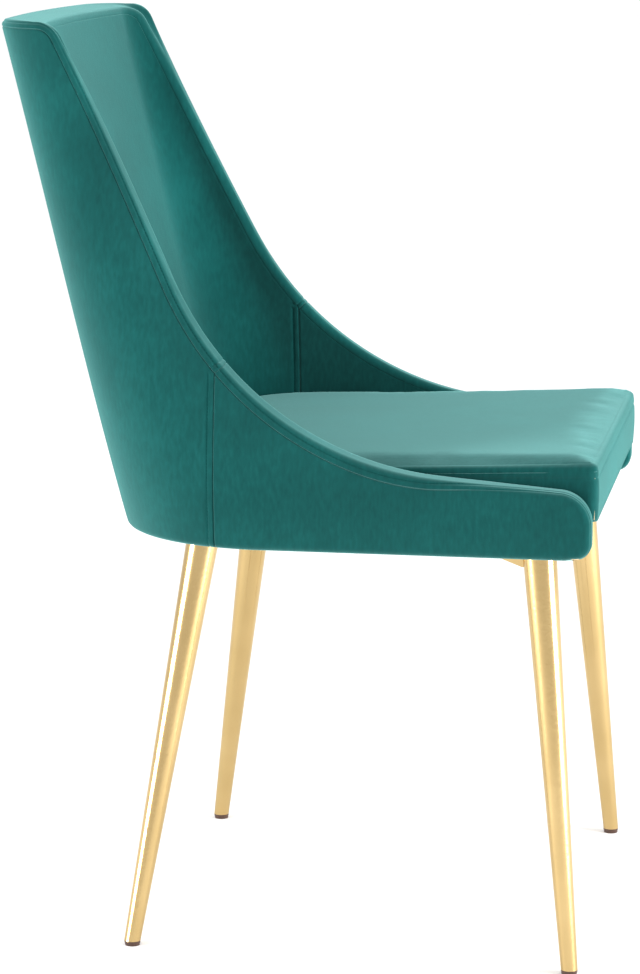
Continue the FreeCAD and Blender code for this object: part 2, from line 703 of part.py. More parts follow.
rims = {}
for region in REGIONS:
    rim_label, cover_label, panel_label, foam_label, lining_label = LABELS[region]
    rims[region] = piece(common(f"{region}_rim", whole_wall, masks[region, "rim"]), rim_label)
    cover_body = common(f"{region}_cover_face", cover_layer, masks[region, "cover"])
    piece(fuse(f"{region}_cover", cover_body, hem(region)), cover_label)
    panel_body = common(f"{region}_panel_body", panel_layer, masks[region, "frame"])
    piece(cut(f"{region}_panel", panel_body, frame_screws), panel_label)
    foam_body = common(f"{region}_foam_body", foam_layer, masks[region, "seat"])
    piece(cut(f"{region}_foam", foam_body, splice_pair), foam_label)
    piece(common(f"{region}_lining", lining_layer, masks[region, "seat"]), lining_label)


# ---------------------------------------------------------------- seat

piece(cut("front_rail_drilled", front_rail, frame_screws), "front_rail")
piece(cut("rear_rail_drilled", rear_rail, frame_screws), "rear_rail")
for side, rail_body in side_rails.items():
    piece(cut(f"{side}_rail_drilled", rail_body, frame_screws), f"side_rail_{side}")

nut_set = fuse("nut_set", leg_tee_nuts, bolt_holes)
blocks = []
for name, sign, top_x, top_y, _, _, inward in LEGS:
    solid_block = corner_block(name, sign, top_x, top_y, inward)
    blocks.append(cut(f"{name}_block_drilled", solid_block, nut_set))
piece(group("corner_block_group", blocks), "corner_blocks")

arm_inner_front = S.front_reach - S.rim_depth
board_main = common("board_main", panel_block,
                    slab("board_main_slab", -arm_inner_front, REACH, board_bottom, board_top))
board_lip = common("board_lip", filling_block,
                   slab("board_lip_slab", S.cover - cushion_face, -arm_inner_front,
                        board_bottom, board_top))
board_blank = cut("board_blank", fuse("board_whole", board_main, board_lip),
                  group("arm_rims", [rims["left"], rims["right"]]))
piece(cut("seat_board_body", board_blank, frame_screws), "seat_board")

cushion_slope = (S.cushion_front - S.cushion_rear) / (cushion_face + S.rear_rail_face)
cushion_front_top = board_top + S.cushion_front
cushion_rear_top = cushion_front_top - cushion_slope * (cushion_face + REACH)


def cushion_profile(name, corners):
    sketch = side_sketch(f"{name}_outline")
    polygon(sketch, corners)
    return extrude_sideways(f"{name}_profile", sketch, Size.of(REACH))


filling_face = cushion_face - S.cover
filling_front_top = cushion_front_top - S.cover - cushion_slope * S.cover
filling_rear_top = cushion_rear_top - S.cover
seat_foam = common("seat_foam_body", filling_block, cushion_profile("filling", [
    (-filling_face, board_top), (REACH, board_top),
    (REACH, filling_rear_top), (-filling_face, filling_front_top)]))
piece(seat_foam, "seat_foam")
piece(common("seat_top_cover_body", cushion_block, cushion_profile("top_cover", [
    (-cushion_face, cushion_front_top - S.cover), (REACH, filling_rear_top),
    (REACH, cushion_rear_top), (-cushion_face, cushion_front_top)])), "seat_top_cover")
flap_bottom = board_bottom - S.cover
flap_rear = -front_rail_face - S.rail_cover
band_body = common("seat_band_body", cushion_block, cushion_profile("band", [
    (-cushion_face, flap_bottom), (flap_rear, flap_bottom), (flap_rear, board_bottom),
    (REACH, board_bottom), (REACH, filling_rear_top),
    (-cushion_face, cushion_front_top - S.cover)]))
seat_inside = fuse("seat_inside", board_blank, seat_foam)
piece(cut("seat_band_ring", band_body, seat_inside), "seat_band")

piece(common("front_rail_cover_body", panel_block,
             slab("front_rail_cover_slab", flap_rear, -front_rail_face,
                  frame_bottom - S.dust_cover, board_bottom)), "front_rail_cover")
dust_blank = common("dust_cover_blank", panel_block,
                    slab("dust_cover_slab", -front_rail_face, REACH,
                         frame_bottom - S.dust_cover, frame_bottom))
piece(cut("dust_cover_body", dust_blank, bolt_holes), "dust_cover")


# ---------------------------------------------------------------- legs

def body_sketch(body, name, level):
    """A sketch on a body's own ground plane, raised to a level."""
    sketch = body.newObject("Sketcher::SketchObject", name)
    ground = [plane for plane in body.Origin.OriginFeatures if plane.Role == "XY_Plane"][0]
    sketch.AttachmentSupport = [(ground, "")]
    sketch.MapMode = "FlatFace"
    bind(sketch, "AttachmentOffset.Base.z", level)
    return sketch


def tapered_round(body, name, kind, lower, upper):
    """Loft between two horizontal circles, each given as x, y, z and radius."""
    ends = []
    for tag, (x, y, z, radius) in (("low", lower), ("high", upper)):
        sketch = body_sketch(body, f"{name}_{tag}", z)
        circle(sketch, x, y, radius)
        ends.append(sketch)
    loft = body.newObject(f"PartDesign::{kind}", name)
    loft.Profile = ends[0]
    loft.Sections = [ends[1]]
    for sketch in ends:
        sketch.Visibility = False
    return loft


def leg_tube(name, top_x, top_y, foot_x, foot_y):
    body = doc.addObject("PartDesign::Body", f"leg_body_{name}")
    low = (foot_x, foot_y, S.glide)
    high = (top_x, top_y, plate_bottom)
    tapered_round(body, f"leg_outer_{name}", "AdditiveLoft",
                  (*low, S.leg_foot / 2), (*high, S.leg_top / 2))
    doc.recompute()
    tapered_round(body, f"leg_bore_{name}", "SubtractiveLoft",
                  (*low, S.leg_foot / 2 - S.leg_wall), (*high, S.leg_top / 2 - S.leg_wall))
    return piece(body, f"leg_{name}")


def glide(name, top_x, top_y, foot_x, foot_y):
    body = doc.addObject("PartDesign::Body", f"glide_body_{name}")
    share = S.glide_plug / (plate_bottom - S.glide)
    plug_radius = S.leg_foot / 2 - S.leg_wall - S.plug_gap
    plug_x = foot_x + (top_x - foot_x) * share
    plug_y = foot_y + (top_y - foot_y) * share
    tapered_round(body, f"glide_sole_{name}", "AdditiveLoft",
                  (foot_x, foot_y, Size.of(0), S.leg_foot / 2 - S.glide_taper),
                  (foot_x, foot_y, S.glide, S.leg_foot / 2))
    doc.recompute()
    tapered_round(body, f"glide_stem_{name}", "AdditiveLoft",
                  (foot_x, foot_y, S.glide, plug_radius),
                  (plug_x, plug_y, S.glide + S.glide_plug, plug_radius))
    return piece(body, f"glide_{name}")


def leg_plate(name, sign, top_x, top_y, inward):
    body = doc.addObject("PartDesign::Body", f"plate_body_{name}")
    outline = body_sketch(body, f"plate_outline_{name}", plate_bottom)
    x_out, x_in = top_x + sign * S.plate_out, top_x - sign * S.plate_in
    y_out, y_in = top_y - inward * S.plate_out, top_y + inward * S.plate_in
    polygon(outline, [(x_out, y_out), (x_in, y_out), (x_in, y_in), (x_out, y_in)])
    pad = body.newObject("PartDesign::Pad", f"plate_pad_{name}")
    pad.Profile = outline
    bind(pad, "Length", S.plate)
    doc.recompute()
    holes = body_sketch(body, f"plate_holes_{name}", plate_bottom + S.plate)
    for across, along in ((-S.hole_far, S.hole_near), (-S.hole_far, S.hole_far),
                          (-S.hole_near, S.hole_far)):
        circle(holes, top_x + sign * across, top_y + inward * along, S.bolt / 2 + S.bolt_gap)
    pocket = body.newObject("PartDesign::Pocket", f"plate_pocket_{name}")
    pocket.Profile = holes
    bind(pocket, "Length", S.plate)
    return piece(body, f"leg_plate_{name}")


def gusset(name, top_x, top_y, foot_x, foot_y, inward):
    """A triangle between the plate and the leg, cut to the leg's round face."""
    sketch = side_sketch(f"gusset_outline_{name}")
    bind(sketch, "Placement.Base.x", top_x)
    face = top_y + inward * (S.leg_top / 2)
    tip = top_y + inward * (S.leg_top / 2 + S.gusset_length)
    low = plate_bottom - S.gusset_height
    polygon(sketch, [(top_y, plate_bottom), (tip, plate_bottom), (face, low), (top_y, low)])
    web = extrude_sideways(f"gusset_web_{name}", sketch, S.gusset / 2)
    envelope = doc.addObject("Part::Loft", f"leg_envelope_{name}")
    ends = []
    for tag, x, y, z, radius in (("low", foot_x, foot_y, S.glide, S.leg_foot / 2),
                                 ("high", top_x, top_y, plate_bottom, S.leg_top / 2)):
        ring = free_sketch(f"leg_envelope_{tag}_{name}")
        bind(ring, "Placement.Base.z", z)
        circle(ring, x, y, radius)
        ends.append(ring)
    envelope.Sections = ends
    envelope.Solid = True
    return piece(cut(f"gusset_body_{name}", web, envelope), f"gusset_{name}")


for name, sign, top_x, top_y, foot_x, foot_y, inward in LEGS:
    leg_tube(name, top_x, top_y, foot_x, foot_y)
    glide(name, top_x, top_y, foot_x, foot_y)
    leg_plate(name, sign, top_x, top_y, inward)
    gusset(name, top_x, top_y, foot_x, foot_y, inward)

doc.recompute()


# ---------------------------------------------------------------- checks and export

failed = [item.Name for item in doc.Objects if {"Invalid", "Error"} & set(item.State)]
if failed:
    raise RuntimeError(f"features that failed: {failed}")
for item in pieces:
    if item.Shape.isNull() or not item.Shape.isValid() or not item.Shape.Solids:
        raise RuntimeError(f"{item.Label} has no valid solid")

os.makedirs("parts", exist_ok=True)
for item in pieces:
    item.Shape.exportStep(f"parts/{item.Label}.step")
    print(f"{item.Label}: {len(item.Shape.Solids)} solids, {item.Shape.Volume / 1000:.1f} cm3")
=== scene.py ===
"""Looks of the dining chair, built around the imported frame: covers, rim, cushion and stitches.

Lengths in this script are millimetres, as in the part's own source, and meshes are made in metres.
The upholstered wall is worked out flat, as a pattern cutter would: "run" is the distance round a
face of the wall from the middle of the back, plus to the right, and "level" is the height.
"""
import json
import math

import bpy
import numpy as np
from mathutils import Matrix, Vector, kdtree
from mathutils.geometry import delaunay_2d_cdt


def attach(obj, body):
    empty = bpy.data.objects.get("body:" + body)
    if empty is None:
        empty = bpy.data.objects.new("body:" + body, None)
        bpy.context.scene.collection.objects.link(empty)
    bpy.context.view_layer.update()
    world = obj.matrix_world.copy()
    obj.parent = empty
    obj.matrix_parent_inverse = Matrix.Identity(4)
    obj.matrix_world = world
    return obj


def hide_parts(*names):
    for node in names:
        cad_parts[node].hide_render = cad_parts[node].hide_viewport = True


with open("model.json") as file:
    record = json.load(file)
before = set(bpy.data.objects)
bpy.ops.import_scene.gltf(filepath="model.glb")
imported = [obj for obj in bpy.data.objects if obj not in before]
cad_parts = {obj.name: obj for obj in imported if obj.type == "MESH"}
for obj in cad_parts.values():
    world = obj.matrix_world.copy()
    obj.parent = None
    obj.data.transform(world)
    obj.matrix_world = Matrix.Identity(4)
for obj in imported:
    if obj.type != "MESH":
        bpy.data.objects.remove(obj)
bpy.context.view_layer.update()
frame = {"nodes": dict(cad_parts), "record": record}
nodes = frame["nodes"]

MM = 0.001
HALF_TURN = math.pi / 2
SIDES = (("left", -1), ("right", 1))

# ---------------------------------------------------------------- sizes, as in the part

SHELL_BOTTOM, CREST, FRONT = 418, 927, 304
BACK_FOOT, RECLINE, CROWN = 186, math.radians(13.4), 1500
SECTION_LEVELS = (400, 560, 690, 945)
HALF_WIDTHS = (258, 254, 232, 222)
CORNERS = (155, 125, 95, 75)
SIDE_WALL, BACK_WALL = 27, 48
JUNCTION = 66
ARM_HEIGHT, ARM_FALL, ARM_ROUND, TOE_ROUND = 65, math.radians(4.6), 33, 17
RIM_TOP, RIM_LEAN, SWEEP, CREST_ROUND = 234, math.radians(25.9), 328, 25
BOARD_TOP = 467
CUSHION_FACE, CUSHION_GAP = 307.2, 0.5

# ---------------------------------------------------------------- sizes of the looks

COVER = 2.3                 # thickness of a cover
ROLL = 1.7                  # radius at which a cover's edge turns into its seam
OUTER_EDGE, INNER_EDGE = 7, 6.5     # rounding of the rim's outer and inner edge
INNER_JOIN = 9              # inner cover starts this far below the rim
JOIN_ROLL = 0.25            # depth of the fine line where inner cover and rim band meet
BESIDE_JOIN = 0.08          # its depth one row away, on the band
END_ROLL = 0.9              # depth of the line where two rim bands meet
STITCH_GAP = 6.2            # a seam to the row of stitches beside it
STITCH_PITCH, STITCH_LENGTH, THREAD = 3.4, 2.5, 0.26
GRID = 6.5                  # mesh size in the middle of a panel
STEP = 3.0                  # mesh size along an edge
BAND_STEP = 4.0             # mesh size along a rim band
FAR = 99.0                  # a distance at which no seam is felt
# Depth of the outer seam below the rim, by the side view's Y
SEAM_Y = (-304, -245, -198, -150, -97, 67, 160, 240)
SEAM_DROP = (0.6, 0.8, 4.6, 11.0, 12.6, 10.0, 8.0, 6.4)


def unit(vectors):
    return vectors / np.maximum(np.linalg.norm(vectors, axis=-1, keepdims=True), 1e-12)


def way_along(line):
    """The distance from a line's start to each of its points."""
    return np.r_[0, np.cumsum(np.linalg.norm(np.diff(line, axis=0), axis=1))]


def smooth_step(value, low, high):
    t = np.clip((np.asarray(value, float) - low) / (high - low), 0, 1)
    return t * t * (3 - 2 * t)


# ---------------------------------------------------------------- the wall's faces

def through(values):
    """The cubic through one value for each of the shell's plan sections."""
    fit = np.polyfit(np.array(SECTION_LEVELS) / 100, values, 3)
    return lambda level: np.polyval(fit, np.asarray(level, float) / 100)


half_width, corner_radius = through(HALF_WIDTHS), through(CORNERS)


class Face:
    """One face of the wall, set in from the outside, and which way it shows."""

    def __init__(self, side, back, corner, shows):
        self.side, self.back, self.corner, self.shows = side, back, corner, shows

    def plan(self, level):
        radius = corner_radius(level) - self.corner
        flank = half_width(level) - self.side - radius
        rear = BACK_FOOT + math.tan(RECLINE) * (level - SHELL_BOTTOM) - self.back
        crown_y = rear - CROWN
        corner_y = crown_y + np.sqrt((CROWN - radius) ** 2 - flank ** 2)
        lean = np.arcsin(flank / (CROWN - radius))
        return radius, flank, crown_y, corner_y, lean

    def run_at(self, y, level):
        radius, _, _, corner_y, lean = self.plan(level)
        turn = np.arcsin(np.clip((y - corner_y) / radius, 0, 1))
        turn = np.minimum(turn, HALF_TURN - lean)
        return CROWN * lean + radius * (HALF_TURN - lean - turn) + np.maximum(corner_y - y, 0)

    def share(self, run, level):
        """Where a run lies: 0 mid back, 1 crown's end, 2 corner's end, 3 at the junction."""
        radius, _, _, corner_y, lean = self.plan(level)
        crown_run, corner_run = CROWN * lean, radius * (HALF_TURN - lean)
        side_run = np.maximum(corner_y - JUNCTION, 1)
        return np.where(run < crown_run, run / crown_run,
                        np.where(run < crown_run + corner_run, 1 + (run - crown_run) / corner_run,
                                 2 + (run - crown_run - corner_run) / side_run))

    def at(self, run, level):
        run, level = np.broadcast_arrays(np.asarray(run, float), np.asarray(level, float))
        radius, flank, crown_y, corner_y, lean = self.plan(level)
        length = np.abs(run)
        beyond = length - CROWN * lean
        turn = np.clip(HALF_TURN - lean - beyond / radius, 0, HALF_TURN)
        straight = np.maximum(beyond - radius * (HALF_TURN - lean), 0)
        on_crown = beyond < 0
        x = np.where(on_crown, CROWN * np.sin(length / CROWN), flank + radius * np.cos(turn))
        y = np.where(on_crown, crown_y + CROWN * np.cos(length / CROWN),
                     corner_y + radius * np.sin(turn) - straight)
        return np.stack([np.sign(run) * x, y, level], -1)

    def outward(self, run, level):
        """Unit normal away from the wall's inside, on the side that shows."""
        nudge = 0.5
        along = self.at(np.add(run, nudge), level) - self.at(np.add(run, -nudge), level)
        up = self.at(run, np.add(level, nudge)) - self.at(run, np.add(level, -nudge))
        return unit(np.cross(up, along)) * self.shows


INNER_CORNER = (SIDE_WALL + BACK_WALL) / 2
OUTER = Face(0, 0, 0, 1)
INNER = Face(SIDE_WALL, BACK_WALL, INNER_CORNER, -1)


# ---------------------------------------------------------------- the wall's lower edge

# Set-in and height above the shell's bottom, down the face, round the edge and underneath
EDGE_TOP, EDGE_RUN = 30, 40
EDGE_ROUND = 6
edge_turns = np.linspace(0, HALF_TURN, 9)
EDGE = np.vstack([[0, EDGE_TOP], np.stack([EDGE_ROUND * (1 - np.cos(edge_turns)),
                                          EDGE_ROUND * (1 - np.sin(edge_turns))], -1), [13, 0.3]])
edge_way = way_along(EDGE)
edge_way /= edge_way[-1]
# The bevel under the back: it begins at this Y, and its set-in falls by this much per height
BEVEL_Y, BEVEL_DEPTH, BEVEL_FALL = 173.5, 12.5, 1 - math.tan(RECLINE)
BEVEL_SOFTNESS = 1.2


def lower_edge(run, height):
    """Set-in and level at a height on the flat pattern, which runs on round the lower edge."""
    foot = OUTER.at(run, np.full_like(height, SHELL_BOTTOM))
    way = np.clip((SHELL_BOTTOM + EDGE_TOP - height) / EDGE_RUN, 0, 1)
    set_in, up = np.interp(way, edge_way, EDGE[:, 0]), np.interp(way, edge_way, EDGE[:, 1])
    bevel = np.clip(foot[..., 1] - BEVEL_Y, 0, BEVEL_DEPTH) - BEVEL_FALL * up
    set_in = (set_in + bevel + np.sqrt((set_in - bevel) ** 2 + BEVEL_SOFTNESS ** 2)) / 2
    above = height >= SHELL_BOTTOM + EDGE_TOP
    return np.where(above, 0, set_in), np.where(above, height, SHELL_BOTTOM + up)


def pattern_height(level):
    """The height on a side's flat pattern that comes to lie at a level."""
    heights = np.linspace(SHELL_BOTTOM + EDGE_TOP - EDGE_RUN * 0.86, SHELL_BOTTOM + EDGE_TOP, 200)
    up = np.interp((SHELL_BOTTOM + EDGE_TOP - heights) / EDGE_RUN, edge_way, EDGE[:, 1])
    return np.where(level > SHELL_BOTTOM + EDGE_TOP, level,
                    np.interp(level, SHELL_BOTTOM + up, heights))


# ---------------------------------------------------------------- the rim in side view

RIM_SPACING = 1.5
DROP_BLUR = 20              # spots on each side over which the seam's drop is smoothed


def rim_side_view():
    """Points (Y, Z) along the rim from an arm's toe to the crest, and normals into the wall."""
    spans = []

    def arc(centre, radius, start, end, into):
        steps = max(int(abs(end - start) * radius / RIM_SPACING), 6)
        angles = np.linspace(start, end, steps)
        ray = np.stack([np.cos(angles), np.sin(angles)], -1)
        spans.append((np.array(centre) + ray * radius, ray * into))

    def line(start, end, normal):
        steps = max(int(math.dist(start, end) / RIM_SPACING), 3)
        t = np.linspace(0, 1, steps)[1:-1, None]
        points = np.array(start) * (1 - t) + np.array(end) * t
        spans.append((points, np.repeat([normal], len(points), axis=0)))

    arm_z, slope = SHELL_BOTTOM + ARM_HEIGHT, math.tan(ARM_FALL)
    tan_lean = math.tan(RIM_LEAN)
    meet_y = (RIM_TOP - tan_lean * (CREST - arm_z - slope * FRONT)) / (1 - tan_lean * slope)
    meet_z = arm_z + slope * (meet_y + FRONT)
    reach = SWEEP * math.tan((HALF_TURN - RIM_LEAN - ARM_FALL) / 2)
    arm_end = np.array([meet_y - reach * math.cos(ARM_FALL), meet_z - reach * math.sin(ARM_FALL)])
    lean_start = np.array([meet_y + reach * math.sin(RIM_LEAN),
                           meet_z + reach * math.cos(RIM_LEAN)])
    sweep_centre = arm_end + SWEEP * np.array([-math.sin(ARM_FALL), math.cos(ARM_FALL)])
    crest_reach = CREST_ROUND * math.tan((HALF_TURN - RIM_LEAN) / 2)
    crest_centre = np.array([RIM_TOP + crest_reach, CREST - CREST_ROUND])
    lean_end = crest_centre + CREST_ROUND * np.array([-math.cos(RIM_LEAN), math.sin(RIM_LEAN)])
    arm_reach = ARM_ROUND * math.tan((HALF_TURN - ARM_FALL) / 2)
    arm_start = np.array([arm_reach * math.cos(ARM_FALL) - FRONT,
                          arm_z + arm_reach * math.sin(ARM_FALL)])
    arm_centre = arm_start + ARM_ROUND * np.array([math.sin(ARM_FALL), -math.cos(ARM_FALL)])
    toe_centre = (TOE_ROUND - FRONT, SHELL_BOTTOM + TOE_ROUND)

    arc(toe_centre, TOE_ROUND, 3 * HALF_TURN, math.pi, -1)
    line((-FRONT, toe_centre[1]), (-FRONT, arm_centre[1]), (1, 0))
    arc(arm_centre, ARM_ROUND, math.pi, HALF_TURN + ARM_FALL, -1)
    line(arm_start, arm_end, (math.sin(ARM_FALL), -math.cos(ARM_FALL)))
    arc(sweep_centre, SWEEP, ARM_FALL - HALF_TURN, -RIM_LEAN, 1)
    line(lean_start, lean_end, (math.cos(RIM_LEAN), -math.sin(RIM_LEAN)))
    arc(crest_centre, CREST_ROUND, math.pi - RIM_LEAN, HALF_TURN, -1)
    points = np.concatenate([p for p, _ in spans])
    normals = np.concatenate([n for _, n in spans])
    return points, normals


RIM, RIM_IN = rim_side_view()
rim_way = way_along(RIM)


def side_view_at(way):
    point = np.stack([np.interp(way, rim_way, RIM[:, i]) for i in range(2)], -1)
    normal = unit(np.stack([np.interp(way, rim_way, RIM_IN[:, i]) for i in range(2)], -1))
    return point, normal


def seam_drop(way):
    """How far below the rim the outer seam runs."""
    spots = np.linspace(0, rim_way[-1], 400)
    raw = np.interp(side_view_at(spots)[0][:, 0], SEAM_Y, SEAM_DROP)
    kernel = np.hanning(2 * DROP_BLUR + 1)
    padded = np.pad(raw, DROP_BLUR, mode="edge")
    return np.interp(way, spots, np.convolve(padded, kernel / kernel.sum(), "valid"))


def seam_y(way):
    point, normal = side_view_at(way)
    return point[..., 0] + normal[..., 0] * seam_drop(way)


TOE_WAY = 2 * TOE_ROUND     # past the toe's own round, where Y begins to grow with the way
late_way = np.linspace(TOE_WAY, rim_way[-1], 2000)
junction_way = float(np.interp(JUNCTION, seam_y(late_way), late_way))
LEAN_SHARE = 0.5            # the part of a back line's course that is below the level crest


def rim_line(face, drop=None):
    """Run, level and Y along half a face's rim, toe to mid back, set down by a drop."""
    way = np.linspace(0, rim_way[-1], 900)
    drops = seam_drop(way) if drop is None else np.full(len(way), float(drop))
    point, normal = side_view_at(way)
    place = point + normal * drops[:, None]
    run = face.run_at(place[:, 0], place[:, 1])
    crest = np.linspace(run[-1], 0, 120)[1:]
    level_crest = np.column_stack([crest, 0 * crest + place[-1, 1], 0 * crest + place[-1, 0]])
    return np.concatenate([np.stack([run, place[:, 1], place[:, 0]], -1), level_crest])


def split_at_junction(line):
    """The line's part on the side and its part on the back."""
    first = int(np.argmax(line[:, 2] > JUNCTION))
    before, after = line[first - 1], line[first]
    meeting = before + (after - before) * (JUNCTION - before[2]) / (after[2] - before[2])
    return np.vstack([line[:first], meeting]), np.vstack([meeting, line[first:]])


def rim_spot(face, region, course, drop):
    """Run and level at courses along the rim, from 0 at the junction, set down by drops."""
    course = np.asarray(course, float)
    if region == "side":                # course 1 is the arm's toe
        point, normal = side_view_at(junction_way * (1 - course))
        place = point + normal * np.asarray(drop, float)[..., None]
        return face.run_at(place[..., 0], place[..., 1]), place[..., 1]
    climb = np.minimum(course / LEAN_SHARE, 1)
    point, normal = side_view_at(junction_way + (rim_way[-1] - junction_way) * climb)
    place = point + normal * np.asarray(drop, float)[..., None]
    run = face.run_at(place[..., 0], place[..., 1])
    return run * (1 - np.maximum(course - LEAN_SHARE, 0) / (1 - LEAN_SHARE)), place[..., 1]


def drop_at(region, course):
    course = np.asarray(course, float)
    if region == "side":
        return seam_drop(junction_way * (1 - course))
    climb = np.minimum(course / LEAN_SHARE, 1)
    return seam_drop(junction_way + (rim_way[-1] - junction_way) * climb)


def paired(outer_course):
    """The courses on the inner face that lie straight across the wall from outer ones."""
    fine = np.linspace(0, 1, 1500)
    shares = []
    for face in (OUTER, INNER):
        run, level = rim_spot(face, "back", fine, 0)
        share = np.minimum.accumulate(face.share(run, level))
        shares.append(share / share[0])
    wanted = np.interp(outer_course, fine, shares[0])
    return np.interp(-wanted, -shares[1], fine)


def stations(region, spacing, near_junction):
    """Courses a chosen length apart along the outer rim, with closer ones at the junction."""
    fine = np.linspace(0, 1, 3000)
    run, level = rim_spot(OUTER, region, fine, 0)
    way = way_along(OUTER.at(run, level))
    count = max(int((way[-1] - near_junction[-1]) / spacing), 2)
    wanted = np.r_[near_junction[:-1], np.linspace(near_junction[-1], way[-1], count)]
    return np.interp(wanted, way, fine)


# ---------------------------------------------------------------- flat patterns to meshes

# Rows of vertices at these distances from an edge, close at its seam and its row of stitches
EDGE_STEPS = (0, 0.35, 0.8, 1.3, 1.9, 3.0, 4.5, 5.4, 6.2, 7.0, 8.2)
WALL_STEPS = EDGE_STEPS + (10.2, 12.4, 14.8, 17.4, 20.4, 24)


def resample(line, spacing):
    line = np.asarray(line, float)
    way = way_along(line)
    count = max(int(round(way[-1] / spacing)), 1)
    wanted = np.linspace(0, way[-1], count + 1)
    return np.stack([np.interp(wanted, way, line[:, i]) for i in range(line.shape[1])], -1)


def closed_loop(edges, spacing=STEP):
    """One loop from the edges in turn."""
    return np.concatenate([resample(edge, spacing)[:-1] for edge in edges])


def set_in_loop(loop, distance):
    """The loop moved inwards, with its corners mitred."""
    ahead, behind = unit(np.roll(loop, -1, axis=0) - loop), unit(loop - np.roll(loop, 1, axis=0))
    left = unit(np.stack([-(ahead + behind)[:, 1], (ahead + behind)[:, 0]], -1))
    square = np.stack([-ahead[:, 1], ahead[:, 0]], -1)
    mitre = 1 / np.maximum((left * square).sum(-1), 0.35)
    return loop + left * (distance * mitre)[:, None]


def inside(points, loop):
    after = np.roll(loop, -1, axis=0)
    x, y = points[:, None, 0], points[:, None, 1]
    crosses = (loop[:, 1] > y) != (after[:, 1] > y)
    rise = np.where(after[:, 1] == loop[:, 1], 1e-9, after[:, 1] - loop[:, 1])
    at_x = loop[:, 0] + (y - loop[:, 1]) * (after[:, 0] - loop[:, 0]) / rise
    return (crosses & (x < at_x)).sum(1) % 2 == 1


def line_gap(points, line):
    """Distance from each point to a line of short steps."""
    start, step = line[:-1], np.diff(line, axis=0)
    size = np.maximum((step ** 2).sum(-1), 1e-9)
    gap = np.empty(len(points))
    for chunk in np.array_split(np.arange(len(points)), max(len(points) // 2000, 1)):
        away = points[chunk][:, None] - start
        t = np.clip((away * step).sum(-1) / size, 0, 1)
        gap[chunk] = np.sqrt(((away - step * t[..., None]) ** 2).sum(-1)).min(1)
    return gap


def fill(loop, steps=EDGE_STEPS, grid=GRID):
    """Vertices and faces of a flat pattern: rows along its edge, and a grid in the middle."""
    if (loop[:, 0] * np.roll(loop[:, 1], -1) - np.roll(loop[:, 0], -1) * loop[:, 1]).sum() < 0:
        loop = loop[::-1]
    ring_line = np.vstack([loop, loop[:1]])
    points = [loop]
    for step in steps[1:]:
        row = set_in_loop(loop, step)
        row = row[inside(row, loop)]
        points.append(row[line_gap(row, ring_line) > step * 0.97])
    lows, highs = loop.min(0), loop.max(0)
    xs = np.arange(lows[0] + grid / 2, highs[0], grid)
    ys = np.arange(lows[1] + grid / 2, highs[1], grid)
    middle = np.stack(np.meshgrid(xs, ys), -1).reshape(-1, 2)
    middle = middle[inside(middle, loop)]
    points.append(middle[line_gap(middle, ring_line) > steps[-1] + grid * 0.5])
    ring = [(i, (i + 1) % len(loop)) for i in range(len(loop))]
    placed, _, triangles, _, _, _ = delaunay_2d_cdt([Vector(p) for p in np.concatenate(points)],
                                                    ring, [], 1, 1e-3)
    return np.array([tuple(p) for p in placed]), [tuple(t) for t in triangles]


def roll_in(distance, depth=ROLL):
    """How deep a cover's surface lies at a distance from its sewn edge."""
    away = np.clip(1 - np.asarray(distance, float) / ROLL, 0, 1)
    return depth * (1 - np.sqrt(1 - away ** 2))


def stitch_groove(offset, depth=0.75, width=0.9):
    return depth * np.exp(-((np.asarray(offset, float)) / width) ** 2)


def make_object(name, points, faces, material, smooth=True):
    mesh = bpy.data.meshes.new(name)
    mesh.from_pydata((np.asarray(points) * MM).tolist(), [], [tuple(map(int, f)) for f in faces])
    mesh.validate()
    mesh.polygons.foreach_set("use_smooth", [smooth] * len(mesh.polygons))
    mesh.materials.append(material)
    mesh.update()
    thing = bpy.data.objects.new(name, mesh)
    bpy.context.scene.collection.objects.link(thing)
    return thing


def closed_sheet(name, shown, hidden, faces, material):
    """A cover with its two sides and its cut edge."""
    count = len(shown)
    steps = {(face[i - 1], face[i]) for face in faces for i in range(len(face))}
    both = list(faces) + [tuple(count + v for v in reversed(face)) for face in faces]
    both += [(b, a, count + a, count + b) for a, b in steps if (b, a) not in steps]
    return make_object(name, np.concatenate([shown, hidden]), both, material)


def rim_rounding(drop, radius):
    """How far a face's surface turns in near the rim's rounded edge."""
    near = np.clip(radius - drop, 0, radius)
    return radius - np.sqrt(np.maximum(radius ** 2 - near ** 2, 0))


def finish_piece(thing, replaced):
    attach(thing, "root")
    if replaced:
        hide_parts(*replaced)
    return thing


# ---------------------------------------------------------------- materials

def new_material(name):
    material = bpy.data.materials.new(name)
    material.use_nodes = True
    tree = material.node_tree
    shader = tree.nodes["Principled BSDF"]
    place = tree.nodes.new("ShaderNodeTexCoord")
    return material, tree, shader, place.outputs["Object"]


def noise(tree, place, scale, detail=2.0, stretch=None):
    texture = tree.nodes.new("ShaderNodeTexNoise")
    texture.inputs["Scale"].default_value = scale
    texture.inputs["Detail"].default_value = detail
    if stretch:
        mapping = tree.nodes.new("ShaderNodeMapping")
        mapping.inputs["Scale"].default_value = stretch
        tree.links.new(place, mapping.inputs["Vector"])
        place = mapping.outputs["Vector"]
    tree.links.new(place, texture.inputs["Vector"])
    return texture.outputs["Fac"]


def ramp(tree, fac, stops):
    """Colours by a value: stops are (position, colour) pairs."""
    node = tree.nodes.new("ShaderNodeValToRGB")
    elements = node.color_ramp.elements
    while len(elements) < len(stops):
        elements.new(0.5)
    for element, (position, colour) in zip(elements, stops):
        element.position = position
        element.color = (*colour, 1)
    tree.links.new(fac, node.inputs["Fac"])
    return node.outputs["Color"]


